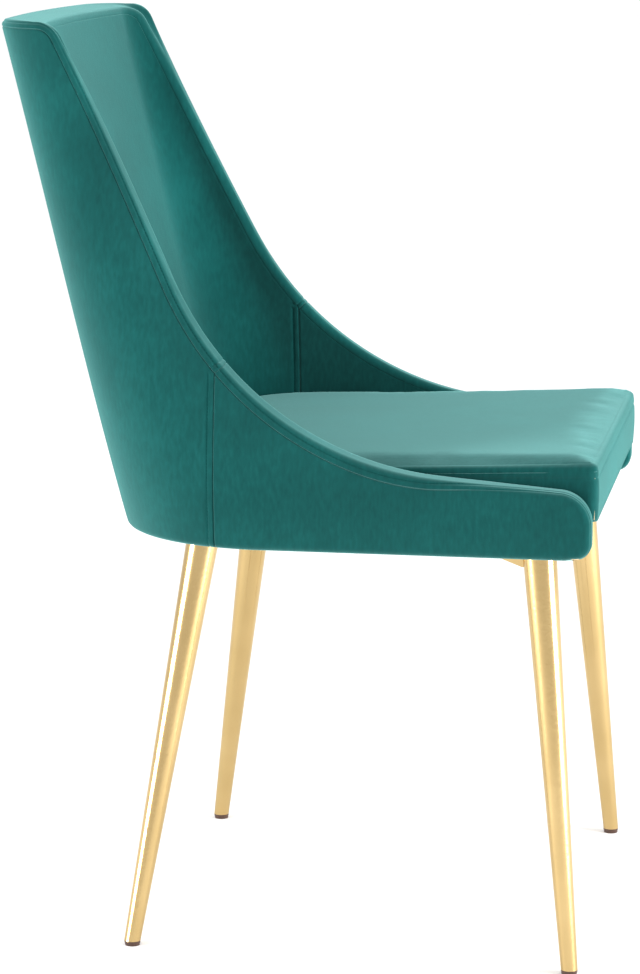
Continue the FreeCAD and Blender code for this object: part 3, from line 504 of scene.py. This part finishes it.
def bump(tree, shader, heights):
    """Stack bumps: (height output, strength, distance in mm) each."""
    last = None
    for height, strength, distance in heights:
        node = tree.nodes.new("ShaderNodeBump")
        node.inputs["Strength"].default_value = strength
        node.inputs["Distance"].default_value = distance * MM
        tree.links.new(height, node.inputs["Height"])
        if last:
            tree.links.new(last, node.inputs["Normal"])
        last = node.outputs["Normal"]
    tree.links.new(last, shader.inputs["Normal"])


def spread(tree, fac, low, high):
    node = tree.nodes.new("ShaderNodeMapRange")
    node.inputs["To Min"].default_value = low
    node.inputs["To Max"].default_value = high
    tree.links.new(fac, node.inputs["Value"])
    return node.outputs["Result"]


def velvet_material():
    """Short-pile velvet: brushed patches of nap, fine pile and a soft sheen at grazing angles."""
    material, tree, shader, place = new_material("velvet")
    patches = noise(tree, place, 9, 3)
    nap = noise(tree, place, 260, 4, (1, 1, 0.35))
    pile = noise(tree, place, 2600, 2)
    both = tree.nodes.new("ShaderNodeMix")
    both.data_type = "FLOAT"
    both.inputs["Factor"].default_value = 0.42
    tree.links.new(patches, both.inputs["A"])
    tree.links.new(nap, both.inputs["B"])
    colour = ramp(tree, both.outputs["Result"], [
        (0.30, (0.0012, 0.034, 0.032)), (0.50, (0.0022, 0.048, 0.045)),
        (0.70, (0.0040, 0.068, 0.064))])
    tree.links.new(colour, shader.inputs["Base Color"])
    tree.links.new(spread(tree, nap, 0.62, 0.86), shader.inputs["Roughness"])
    shader.inputs["Specular IOR Level"].default_value = 0.0
    shader.inputs["Sheen Weight"].default_value = 0.6
    shader.inputs["Sheen Roughness"].default_value = 0.50
    shader.inputs["Sheen Tint"].default_value = (0.30, 0.66, 0.64, 1)
    bump(tree, shader, [(patches, 0.10, 3.0), (nap, 0.16, 0.5), (pile, 0.30, 0.12)])
    return material


def thread_material():
    material, tree, shader, place = new_material("sewing_thread")
    twist = noise(tree, place, 1800, 2, (1, 1, 3))
    colour = ramp(tree, twist, [(0.3, (0.003, 0.034, 0.031)), (0.7, (0.006, 0.058, 0.054))])
    tree.links.new(colour, shader.inputs["Base Color"])
    shader.inputs["Roughness"].default_value = 0.7
    shader.inputs["Specular IOR Level"].default_value = 0.0
    bump(tree, shader, [(twist, 0.4, 0.1)])
    return material


def gold_material():
    """Gold-coloured plating on steel tube, polished along its length."""
    material, tree, shader, place = new_material("gold_plating")
    polish = noise(tree, place, 180, 4, (1, 1, 0.06))
    cloud = noise(tree, place, 14, 2)
    colour = ramp(tree, cloud, [(0.3, (0.50, 0.355, 0.155)), (0.7, (0.57, 0.41, 0.19))])
    tree.links.new(colour, shader.inputs["Base Color"])
    shader.inputs["Metallic"].default_value = 1.0
    tree.links.new(spread(tree, polish, 0.14, 0.24), shader.inputs["Roughness"])
    bump(tree, shader, [(polish, 0.05, 0.05)])
    return material


def wood_material(name, dark, pale, rings, stretch):
    material, tree, shader, place = new_material(name)
    grain = noise(tree, place, rings, 6, stretch)
    colour = ramp(tree, grain, [(0.25, dark), (0.55, pale), (0.8, dark)])
    tree.links.new(colour, shader.inputs["Base Color"])
    shader.inputs["Roughness"].default_value = 0.62
    bump(tree, shader, [(grain, 0.25, 0.3)])
    return material


def speckled_material(name, dark, pale, scale, roughness, depth, metallic=0.0):
    material, tree, shader, place = new_material(name)
    grain = noise(tree, place, scale, 3)
    colour = ramp(tree, grain, [(0.3, dark), (0.7, pale)])
    tree.links.new(colour, shader.inputs["Base Color"])
    shader.inputs["Roughness"].default_value = roughness
    shader.inputs["Metallic"].default_value = metallic
    bump(tree, shader, [(grain, 0.3, depth)])
    return material


VELVET, THREAD_LOOK, GOLD = velvet_material(), thread_material(), gold_material()
DUST_CLOTH = speckled_material("dust_cloth", (0.012, 0.012, 0.013), (0.03, 0.03, 0.03),
                               900, 0.9, 0.2)
STEEL = speckled_material("zinc_steel", (0.50, 0.50, 0.49), (0.66, 0.66, 0.64),
                          60, 0.32, 0.05, 1.0)
LOOKS = {
    "velvet": VELVET,
    "foam": speckled_material("foam", (0.62, 0.56, 0.40), (0.80, 0.74, 0.55), 500, 0.95, 0.6),
    "dust_cloth": DUST_CLOTH,
    "hardwood": wood_material("hardwood", (0.30, 0.18, 0.09), (0.50, 0.34, 0.19), 22, (1, 0.12, 1)),
    "plywood": wood_material("plywood", (0.42, 0.29, 0.16), (0.62, 0.46, 0.28), 26, (0.3, 1, 0.3)),
    "gold_metal": GOLD,
    "glide_plastic": speckled_material("glide_plastic", (0.035, 0.014, 0.008), (0.06, 0.026, 0.015),
                                       700, 0.45, 0.05),
    "zinc_steel": STEEL,
}
for part in frame["record"]["subparts"]:
    holder = nodes[part["node"]]
    holder.data.materials.clear()
    holder.data.materials.append(LOOKS[part["material_slot"]])


# ---------------------------------------------------------------- covers of the wall

def lay_on(face, run, height, sunk, rounded, drop):
    """Points of a face from its flat pattern, sunk by a depth and turned in at the edges."""
    set_in, level = lower_edge(run, height) if face is OUTER else (0 * height, height)
    depth = sunk + set_in + rim_rounding(drop, rounded)
    return face.at(run, level) - face.outward(run, level) * depth[..., None]


def cover(name, face, region, sign, replaced, rounded, bottom):
    """A wall cover, sewn to its neighbours at the rim and the junction, and closed all round."""
    sewn_line = rim_line(face, None if face is OUTER else INNER_JOIN)
    on_side, on_back = split_at_junction(sewn_line)
    sewn = (on_side if region == "side" else on_back)[:, :2].copy()
    heights = np.linspace(bottom, sewn[-1 if region == "side" else 0, 1], 80)
    levels = lower_edge(0 * heights, heights)[1] if face is OUTER else heights
    joint = np.stack([face.run_at(JUNCTION, levels), heights], -1)
    if region == "side":
        if face is OUTER:
            sewn[:, 1] = pattern_height(sewn[:, 1])
        else:                           # it ends on the board, under the cushion
            sewn = sewn[sewn[:, 1] > bottom]
        edges = [sewn, joint[::-1], np.array([joint[0], [sewn[0, 0], bottom]])]
        if sewn[0, 1] - bottom > 0.01:
            edges.append(np.array([[sewn[0, 0], bottom], sewn[0]]))
        joints = [joint]
    else:
        mirror = np.array([-1, 1])
        edges = [joint, sewn, sewn[::-1] * mirror, joint[::-1] * mirror,
                 np.array([joint[0] * mirror, joint[0]])]
        joints = [joint, joint * mirror]
    flat, faces = fill(closed_loop(edges), WALL_STEPS)
    from_rim = line_gap(np.abs(flat), sewn)
    from_joint = np.minimum.reduce([line_gap(flat, line) for line in joints])
    rim_roll = ROLL if face is OUTER else JOIN_ROLL
    sunk = np.maximum(roll_in(from_rim, rim_roll), roll_in(from_joint))
    sunk = sunk + (stitch_groove(from_joint - STITCH_GAP) if region == "back" else 0)
    run, height = flat[:, 0], flat[:, 1]
    top = rim_line(face, 0)[:, :2]
    way_down = line_gap(np.stack([np.abs(run), height], -1), top)
    shown = lay_on(face, run, height, sunk, rounded, way_down)
    hidden = lay_on(face, run, height, 0 * sunk + COVER, rounded, way_down)
    # A pattern wound anticlockwise, with run to the right, faces the wall's inside
    if face.shows > 0:
        faces = [corners[::-1] for corners in faces]
    if region == "side" and sign < 0:
        shown, hidden = shown * [-1, 1, 1], hidden * [-1, 1, 1]
        faces = [corners[::-1] for corners in faces]
    return finish_piece(closed_sheet(name, shown, hidden, faces, VELVET), replaced)


# ---------------------------------------------------------------- rim bands

ARC_STEPS = 9
JOIN_STEPS = (2.4, 1.2, 0.5, 0)     # rows before a band's inner edge


def band_rows(length):
    """Distances across a band, close together at its seams and its row of stitches."""
    middle = np.linspace(EDGE_STEPS[-1], length - JOIN_STEPS[0], 14)[1:-1]
    return np.r_[EDGE_STEPS, middle, length - np.array(JOIN_STEPS)]


def band_section(course_out, course_in, region):
    """Points across the rim from the outer seam over the top to the inner join."""
    def side(course, face, radius, deepest):
        on_arc = radius * (1 - np.sin(np.linspace(0, HALF_TURN, ARC_STEPS)))
        drops = (np.r_[np.linspace(deepest, radius, 6)[:-1], on_arc] if deepest > radius else
                 np.r_[deepest, on_arc[on_arc < deepest]])
        run, level = rim_spot(face, region, np.full(len(drops), course), drops)
        sunk = rim_rounding(drops, radius)
        if face is OUTER:
            sunk = sunk + lower_edge(run, pattern_height(level))[0]
        return face.at(run, level) - face.outward(run, level) * sunk[:, None]

    rise = side(course_out, OUTER, OUTER_EDGE, float(drop_at(region, course_out)))
    fall = side(course_in, INNER, INNER_EDGE, INNER_JOIN)[::-1]
    t = np.linspace(0, 1, 10)[1:-1, None]
    return np.concatenate([rise, rise[-1] * (1 - t) + fall[0] * t, fall])


def band(name, region, sign, replaced):
    """A rim band: over the wall's top from the outer seam to the inner join."""
    near_junction = np.array(EDGE_STEPS)
    courses = stations(region, BAND_STEP, near_junction)
    across = paired(courses) if region == "back" else courses
    sections = [band_section(a, b, region) for a, b in zip(courses, across)]
    if region == "back":                # the other half, as in a mirror
        sections += [section * [-1, 1, 1] for section in sections[-2::-1]]
    grid = []
    for section in sections:
        way = way_along(section)
        rows = band_rows(way[-1])
        grid.append(np.stack([np.interp(rows, way, section[:, i]) for i in range(3)], -1))
    grid = np.array(grid)
    normals = unit(np.cross(np.gradient(grid, axis=1), np.gradient(grid, axis=0)))
    middle = grid.shape[0] // 2, grid.shape[1] // 2
    outwards = normals[middle][2] > 0
    if not outwards:
        normals = -normals
    rows = np.r_[EDGE_STEPS, np.full(grid.shape[1] - len(EDGE_STEPS), FAR)]
    sunk = np.zeros(grid.shape[:2])
    sunk += (roll_in(rows) + stitch_groove(rows - STITCH_GAP))[None, :]
    sunk[:, -2:] += [BESIDE_JOIN, JOIN_ROLL]
    place = np.r_[near_junction, np.full(grid.shape[0] - len(near_junction), FAR)]
    ends = roll_in(place, END_ROLL) + (stitch_groove(place - STITCH_GAP) if region == "back" else 0)
    sunk += ends[:, None]
    if region == "back":
        sunk += ends[::-1][:, None]
    shown = (grid - normals * sunk[..., None]).reshape(-1, 3)
    hidden = (grid - normals * COVER).reshape(-1, 3)
    count, width = grid.shape[:2]
    faces = [(a, a + 1, a + width + 1, a + width)
             for a in (i * width + j for i in range(count - 1) for j in range(width - 1))]
    if not outwards:
        faces = [corners[::-1] for corners in faces]
    if region == "side" and sign < 0:
        shown, hidden = shown * [-1, 1, 1], hidden * [-1, 1, 1]
        faces = [corners[::-1] for corners in faces]
    return finish_piece(closed_sheet(name, shown, hidden, faces, VELVET), replaced)


EDGE_FLOOR = SHELL_BOTTOM + EDGE_TOP - EDGE_RUN
LINING_FLOOR = BOARD_TOP + 1.5
cover("outer_back", OUTER, "back", 1, ["outer_back_cover"], OUTER_EDGE, EDGE_FLOOR)
cover("inner_back", INNER, "back", 1, ["inner_back_cover"], INNER_EDGE, LINING_FLOOR)
band("rim_back", "back", 1, ["rim_band_back"])
for side, sign in SIDES:
    cover(f"outer_side_{side}", OUTER, "side", sign, [f"outer_side_cover_{side}"], OUTER_EDGE,
          EDGE_FLOOR)
    cover(f"inner_side_{side}", INNER, "side", sign, [f"inner_side_cover_{side}"], INNER_EDGE,
          LINING_FLOOR)
    band(f"rim_{side}", "side", sign, [f"rim_band_{side}"])


# ---------------------------------------------------------------- cushion

CUSHION_FLOOR, SEAM_FRONT, SEAM_REAR = 453, 504.5, 486.5
CUSHION_CORNER, CUSHION_RISE, RISE_REACH = 9, 10, 34
CUSHION_BACK = 154
CUSHION_LEVEL = 480         # the level at which its plan is taken
BOXING = 36                 # depth of the boxing's pattern
BULGE = 1.28                # how far the front of the boxing stands out at its middle
TRY_GRID = 9                # mesh size of the simulated panel
MOVE_CAP = 1.6              # how far the simulated cloth may leave its pattern
NEIGHBOURS, BLUR = 9, 4     # movement is averaged over 9 points, by 1 / (distance + BLUR) ** 2


def cushion_outline(spacing):
    """The cushion's plan, from the middle of its front round by the right."""
    half = float(half_width(CUSHION_LEVEL)) - SIDE_WALL - CUSHION_GAP
    end_run = float(INNER.run_at(CUSHION_CORNER - CUSHION_FACE, CUSHION_LEVEL))
    runs = np.linspace(end_run, 0, 160)
    levels = np.full(len(runs), CUSHION_LEVEL)
    wall = INNER.at(runs, levels) + INNER.outward(runs, levels) * CUSHION_GAP
    turns = np.linspace(-HALF_TURN, 0, 8)
    centre = np.array([half - CUSHION_CORNER, CUSHION_CORNER - CUSHION_FACE])
    corner = centre + CUSHION_CORNER * np.stack([np.cos(turns), np.sin(turns)], -1)
    right = np.vstack([[0, -CUSHION_FACE], corner, wall[1:, :2]])
    whole = np.vstack([right, right[-2:0:-1] * [-1, 1], right[:1]])
    return resample(whole, spacing)[:-1]


def seam_level(y):
    share = (np.asarray(y, float) + CUSHION_FACE) / (CUSHION_BACK + CUSHION_FACE)
    return SEAM_FRONT + (SEAM_REAR - SEAM_FRONT) * share


def crowned(flat, gap):
    """The top panel as filled: it rises from the level of its seam."""
    rise = CUSHION_RISE * np.sqrt(1 - np.clip(1 - gap / RISE_REACH, 0, 1) ** 2)
    return np.column_stack([flat, seam_level(flat[:, 1]) + rise])


def simulate_top():
    """Cloth under pressure: how each point of the top panel moves off its pattern."""
    outline = cushion_outline(TRY_GRID)
    flat, faces = fill(outline, (0, 5, 10), TRY_GRID)
    ring = np.vstack([outline, outline[:1]])
    gap = line_gap(flat, ring)
    rest = crowned(flat, gap)
    unevenness = np.random.default_rng(7).normal(0, 0.25, len(rest))
    rest[:, 2] += unevenness * (gap > 4)
    thing = make_object("cushion_try", rest, faces, VELVET)
    held = thing.vertex_groups.new(name="held")
    held.add([int(i) for i in np.flatnonzero(gap < 1)], 1.0, "REPLACE")
    cloth = thing.modifiers.new("cloth", "CLOTH")
    settings = cloth.settings
    settings.quality = 6
    settings.mass = 0.25
    settings.tension_stiffness = settings.compression_stiffness = 18
    settings.shear_stiffness = 8
    settings.bending_stiffness = 0.9
    settings.shrink_min = -0.004
    settings.use_pressure = True
    settings.uniform_pressure_force = 4
    settings.vertex_group_mass = "held"
    settings.effector_weights.gravity = 0
    cloth.point_cache.frame_start, cloth.point_cache.frame_end = 1, 20
    scene = bpy.context.scene
    for number in range(1, 21):
        scene.frame_set(number)
    shape = thing.evaluated_get(bpy.context.evaluated_depsgraph_get()).data
    moved = np.array([tuple(v.co) for v in shape.vertices]) / MM
    scene.frame_set(1)
    bpy.data.objects.remove(thing)
    shift = moved - rest
    size = np.linalg.norm(shift, axis=1, keepdims=True)
    return flat, shift * np.minimum(1, MOVE_CAP / np.maximum(size, 1e-6))


def carry(flat, known, shift):
    """The simulated movement at other points of the pattern."""
    tree = kdtree.KDTree(len(known))
    for i, (x, y) in enumerate(known):
        tree.insert((x, y, 0), i)
    tree.balance()
    out = np.zeros((len(flat), 3))
    for i, (x, y) in enumerate(flat):
        near = tree.find_n((x, y, 0), NEIGHBOURS)
        weights = np.array([1 / (away + BLUR) ** 2 for _, _, away in near])
        out[i] = (shift[[index for _, index, _ in near]] * weights[:, None]).sum(0) / weights.sum()
    return out


def cushion():
    """The cushion's top panel and its boxing; gives the boxing's outline, normals and top."""
    known, shift = simulate_top()
    outline = cushion_outline(STEP)
    ring = np.vstack([outline, outline[:1]])
    flat, faces = fill(outline)
    gap = line_gap(flat, ring)
    shown = crowned(flat, gap)
    shown += carry(flat, known, shift) * smooth_step(gap, 0, 9)[:, None]
    shown[:, 2] -= roll_in(gap) + 0.35 * stitch_groove(gap - STITCH_GAP)
    hidden = crowned(flat, gap) - [0, 0, COVER]
    finish_piece(closed_sheet("cushion_top", shown, hidden, faces, VELVET), ["seat_top_cover"])
    # The boxing: rows down from the top seam, columns round the outline
    out = unit(np.stack([np.roll(outline, -1, 0)[:, 1] - np.roll(outline, 1, 0)[:, 1],
                         np.roll(outline, 1, 0)[:, 0] - np.roll(outline, -1, 0)[:, 0]], -1))
    top = seam_level(outline[:, 1])
    down = np.r_[EDGE_STEPS, np.linspace(11.5, 30, 6), 33, BOXING]
    depth_share = down / BOXING
    faced = smooth_step(60 - CUSHION_FACE - outline[:, 1], 0, 45)
    seam_x = float(outline[:, 0].max()) - CUSHION_CORNER * 0.35
    from_corner = np.where(outline[:, 1] < 25 - CUSHION_FACE,
                           np.abs(np.abs(outline[:, 0]) - seam_x), FAR)
    bulge = BULGE * np.sin(math.pi * depth_share)
    rows = []
    for row, share in enumerate(depth_share):
        levels = top + (CUSHION_FLOOR - top) * share
        set_in = roll_in(down[row]) + stitch_groove(down[row] - STITCH_GAP)
        set_in = set_in + roll_in(from_corner, 1.0) - bulge[row] * faced
        rows.append(np.column_stack([outline - out * set_in[:, None], levels]))
    rows = np.array(rows)
    count = len(outline)
    inner = rows - np.concatenate([out, 0 * out[:, :1]], -1)[None] * COVER
    faces = []
    for i in range(len(rows) - 1):
        for j in range(count):
            k = (j + 1) % count
            faces.append((i * count + j, (i + 1) * count + j, (i + 1) * count + k, i * count + k))
    finish_piece(closed_sheet("cushion_band", rows.reshape(-1, 3), inner.reshape(-1, 3), faces,
                              VELVET), ["seat_band"])
    return outline, out, top


cushion_line, cushion_out, cushion_top = cushion()


# ---------------------------------------------------------------- rows of stitches

SIDES_OF_THREAD = 6
# A stitch along its length: place, thickness, and how far it stands up, its ends in the cloth
STITCH_PLACES = np.array([0, 0.12, 0.5, 0.88, 1])
STITCH_THICKNESS = (0.45, 0.95, 1, 0.95, 0.45)
STITCH_RISE = np.array([-0.30, 0.02, 0.12, 0.02, -0.30])


def stitches(name, lines, material=THREAD_LOOK, length=STITCH_LENGTH,
             pitch=STITCH_PITCH, radius=THREAD):
    """Short lengths of thread along lines of points: each line is points and normals."""
    turns = np.linspace(0, 2 * math.pi, SIDES_OF_THREAD + 1)[:-1]
    last = SIDES_OF_THREAD * (len(STITCH_PLACES) - 1)
    points, faces = [], []
    for line, normals in lines:
        way = way_along(line)
        for start in np.arange(pitch / 2, way[-1] - length, pitch):
            at = start + length * STITCH_PLACES
            centre = np.stack([np.interp(at, way, line[:, i]) for i in range(3)], -1)
            up = unit(np.stack([np.interp(at, way, normals[:, i]) for i in range(3)], -1))
            along = unit(np.gradient(centre, axis=0))
            aside = unit(np.cross(along, up))
            up = np.cross(aside, along)
            centre = centre + up * STITCH_RISE[:, None]
            base = len(points)
            for k, size in enumerate(STITCH_THICKNESS):
                for turn in turns:
                    points.append(centre[k] + radius * size * (aside[k] * math.cos(turn)
                                                               + up[k] * math.sin(turn)))
            for start_of_ring in range(base, base + last, SIDES_OF_THREAD):
                for j in range(SIDES_OF_THREAD):
                    a, b = start_of_ring + j, start_of_ring + (j + 1) % SIDES_OF_THREAD
                    faces.append((a, b, b + SIDES_OF_THREAD, a + SIDES_OF_THREAD))
            faces.append(tuple(base + j for j in reversed(range(SIDES_OF_THREAD))))
            faces.append(tuple(base + last + j for j in range(SIDES_OF_THREAD)))
    return finish_piece(make_object(name, points, faces, material), None)


STITCH_DEPTH = 0.5
LEAST_DROP = 0.8            # a row nearer the rim than this is left out


def band_row(region, sign):
    """The row of stitches above the outer seam, on a rim band."""
    courses = stations(region, BAND_STEP / 2, np.array([0.0, 1.0]))
    seam = drop_at(region, courses)
    drops = np.maximum(seam - STITCH_GAP, LEAST_DROP)
    run, level = rim_spot(OUTER, region, courses, drops)
    keep = seam > STITCH_GAP + LEAST_DROP
    sunk = rim_rounding(drops, OUTER_EDGE) + STITCH_DEPTH
    normals = OUTER.outward(run, level)
    line = OUTER.at(run, level) - normals * sunk[:, None]
    return line[keep] * [sign, 1, 1], normals[keep] * [sign, 1, 1]


def joint_row(face, sign, top_level, bottom_level):
    """The row beside the upright seam at the junction, on the back's side of it."""
    levels = np.linspace(bottom_level, top_level, 60)
    run = face.run_at(JUNCTION, levels) - STITCH_GAP
    normals = face.outward(run, levels)
    line = face.at(run, levels) - normals * STITCH_DEPTH
    return line * [sign, 1, 1], normals * [sign, 1, 1]


joint_top = float(split_at_junction(rim_line(OUTER))[1][0, 1])
inner_top = float(split_at_junction(rim_line(INNER, INNER_JOIN))[1][0, 1])
stitches("stitches_rim_back", [band_row("back", -1), band_row("back", 1)])
for side, sign in SIDES:
    stitches(f"stitches_rim_{side}", [band_row("side", sign)])
    stitches(f"stitches_joint_{side}",
             [joint_row(OUTER, sign, joint_top - 3, SHELL_BOTTOM + 8),
              joint_row(INNER, sign, inner_top - 3, SEAM_REAR + 10)])
# The cushion's row starts from the middle of its front and goes back to Y = -150 on both sides
cushion_stitch = np.column_stack([cushion_line - cushion_out * STITCH_DEPTH,
                                  cushion_top - STITCH_GAP])
cushion_normals = np.column_stack([cushion_out, 0 * cushion_top])
reach = int(np.argmax(cushion_line[:, 1] > -150))
order = np.r_[-reach:reach]
stitches("stitches_cushion", [(cushion_stitch[order], cushion_normals[order])])


# ---------------------------------------------------------------- cloth under the seat

CLOTH_EDGE, CLOTH_FRONT, CLOTH_TOP, CLOTH_THICKNESS = 13, 282, 420.3, 0.4
# The sag: its depth, its reach to each side and along Y, and the Y of its middle
SAG, SAG_SIDE, SAG_REACH, SAG_MIDDLE = 0.8, 140, 130, -60
STAPLE, STAPLE_PITCH, STAPLE_WIRE, HEM = 10, 42, 0.35, 0.975


def dust_cloth():
    """Black cloth stapled under the frame."""
    runs = np.linspace(float(OUTER.run_at(-CLOTH_FRONT, SHELL_BOTTOM)), 0, 160)
    levels = np.full(len(runs), float(SHELL_BOTTOM))
    edge = (OUTER.at(runs, levels) - OUTER.outward(runs, levels) * CLOTH_EDGE)[:, :2]
    right = np.vstack([[0, -CLOTH_FRONT], edge])
    outline = resample(np.vstack([right, right[-2:0:-1] * [-1, 1], right[:1]]), 6)[:-1]
    flat, faces = fill(outline, (0, 1.5, 4), 11)
    hollow = (np.clip(1 - (flat[:, 0] / SAG_SIDE) ** 2, 0, 1)
              * np.clip(1 - ((flat[:, 1] - SAG_MIDDLE) / SAG_REACH) ** 2, 0, 1))
    high = np.column_stack([flat, CLOTH_TOP - SAG * hollow])
    low = high - [0, 0, CLOTH_THICKNESS]
    thing = closed_sheet("dust_sheet", high, low, faces, DUST_CLOTH)
    finish_piece(thing, ["dust_cover"])
    hem = resample(np.vstack([outline, outline[:1]]) * HEM, 4)
    down = np.tile([0.0, 0.0, -1.0], (len(hem), 1))
    line = np.column_stack([hem, np.full(len(hem), CLOTH_TOP - CLOTH_THICKNESS - 0.25)])
    stitches("staples", [(line, down)], STEEL, STAPLE, STAPLE_PITCH, STAPLE_WIRE)


dust_cloth()


# ---------------------------------------------------------------- stage, light and camera

FLOOR_REACH = 20000


def stage_floor():
    material, tree, shader, place = new_material("studio_floor")
    paper = noise(tree, place, 3, 2)
    tree.links.new(ramp(tree, paper, [(0.3, (0.955, 0.955, 0.955)), (0.7, (0.965, 0.965, 0.965))]),
                   shader.inputs["Base Color"])
    shader.inputs["Roughness"].default_value = 0.9
    corners = [(x * FLOOR_REACH, y * FLOOR_REACH, 0)
               for x, y in ((-1, -1), (1, -1), (1, 1), (-1, 1))]
    return make_object("studio_floor", corners, [(0, 1, 2, 3)], material, False)


stage_floor()


def area_light(name, place, target, size, power):
    """A soft square light; places and sizes are in metres."""
    light = bpy.data.lights.new(name, "AREA")
    light.shape, light.size, light.energy = "SQUARE", size, power
    thing = bpy.data.objects.new(name, light)
    thing.location = place
    thing.rotation_euler = (Vector(target) - Vector(place)).to_track_quat("-Z", "Y").to_euler()
    bpy.context.scene.collection.objects.link(thing)


world = bpy.data.worlds.new("studio")
bpy.context.scene.world = world
world.use_nodes = True
backdrop = world.node_tree.nodes["Background"]
backdrop.inputs["Color"].default_value = (1, 1, 1, 1)
backdrop.inputs["Strength"].default_value = 1.05
area_light("key", (-0.7, -3.8, 0.9), (0, 0, 0.6), 1.8, 290)
area_light("rear", (-1.9, 3.4, 0.7), (0, 0.2, 0.6), 1.6, 210)

# The camera, in metres: it looks at the target from this azimuth and elevation
AZIMUTH, ELEVATION, DISTANCE = math.radians(-80.375), math.radians(10.722), 3.5075
FOCAL_LENGTH, SENSOR, FAR_CLIP = 123.33, 36, 100
TARGET = Vector((0, 0.004, 0.4345))
back = Vector((math.sin(AZIMUTH) * math.cos(ELEVATION), -math.cos(AZIMUTH) * math.cos(ELEVATION),
               math.sin(ELEVATION)))
lens = bpy.data.cameras.new("camera")
lens.lens, lens.sensor_width, lens.clip_end = FOCAL_LENGTH, SENSOR, FAR_CLIP
camera = bpy.data.objects.new("camera", lens)
camera.location = TARGET + back * DISTANCE
camera.rotation_euler = back.to_track_quat("Z", "Y").to_euler()
bpy.context.scene.collection.objects.link(camera)
bpy.context.scene.camera = camera
bpy.context.scene.view_settings.view_transform = "Standard"
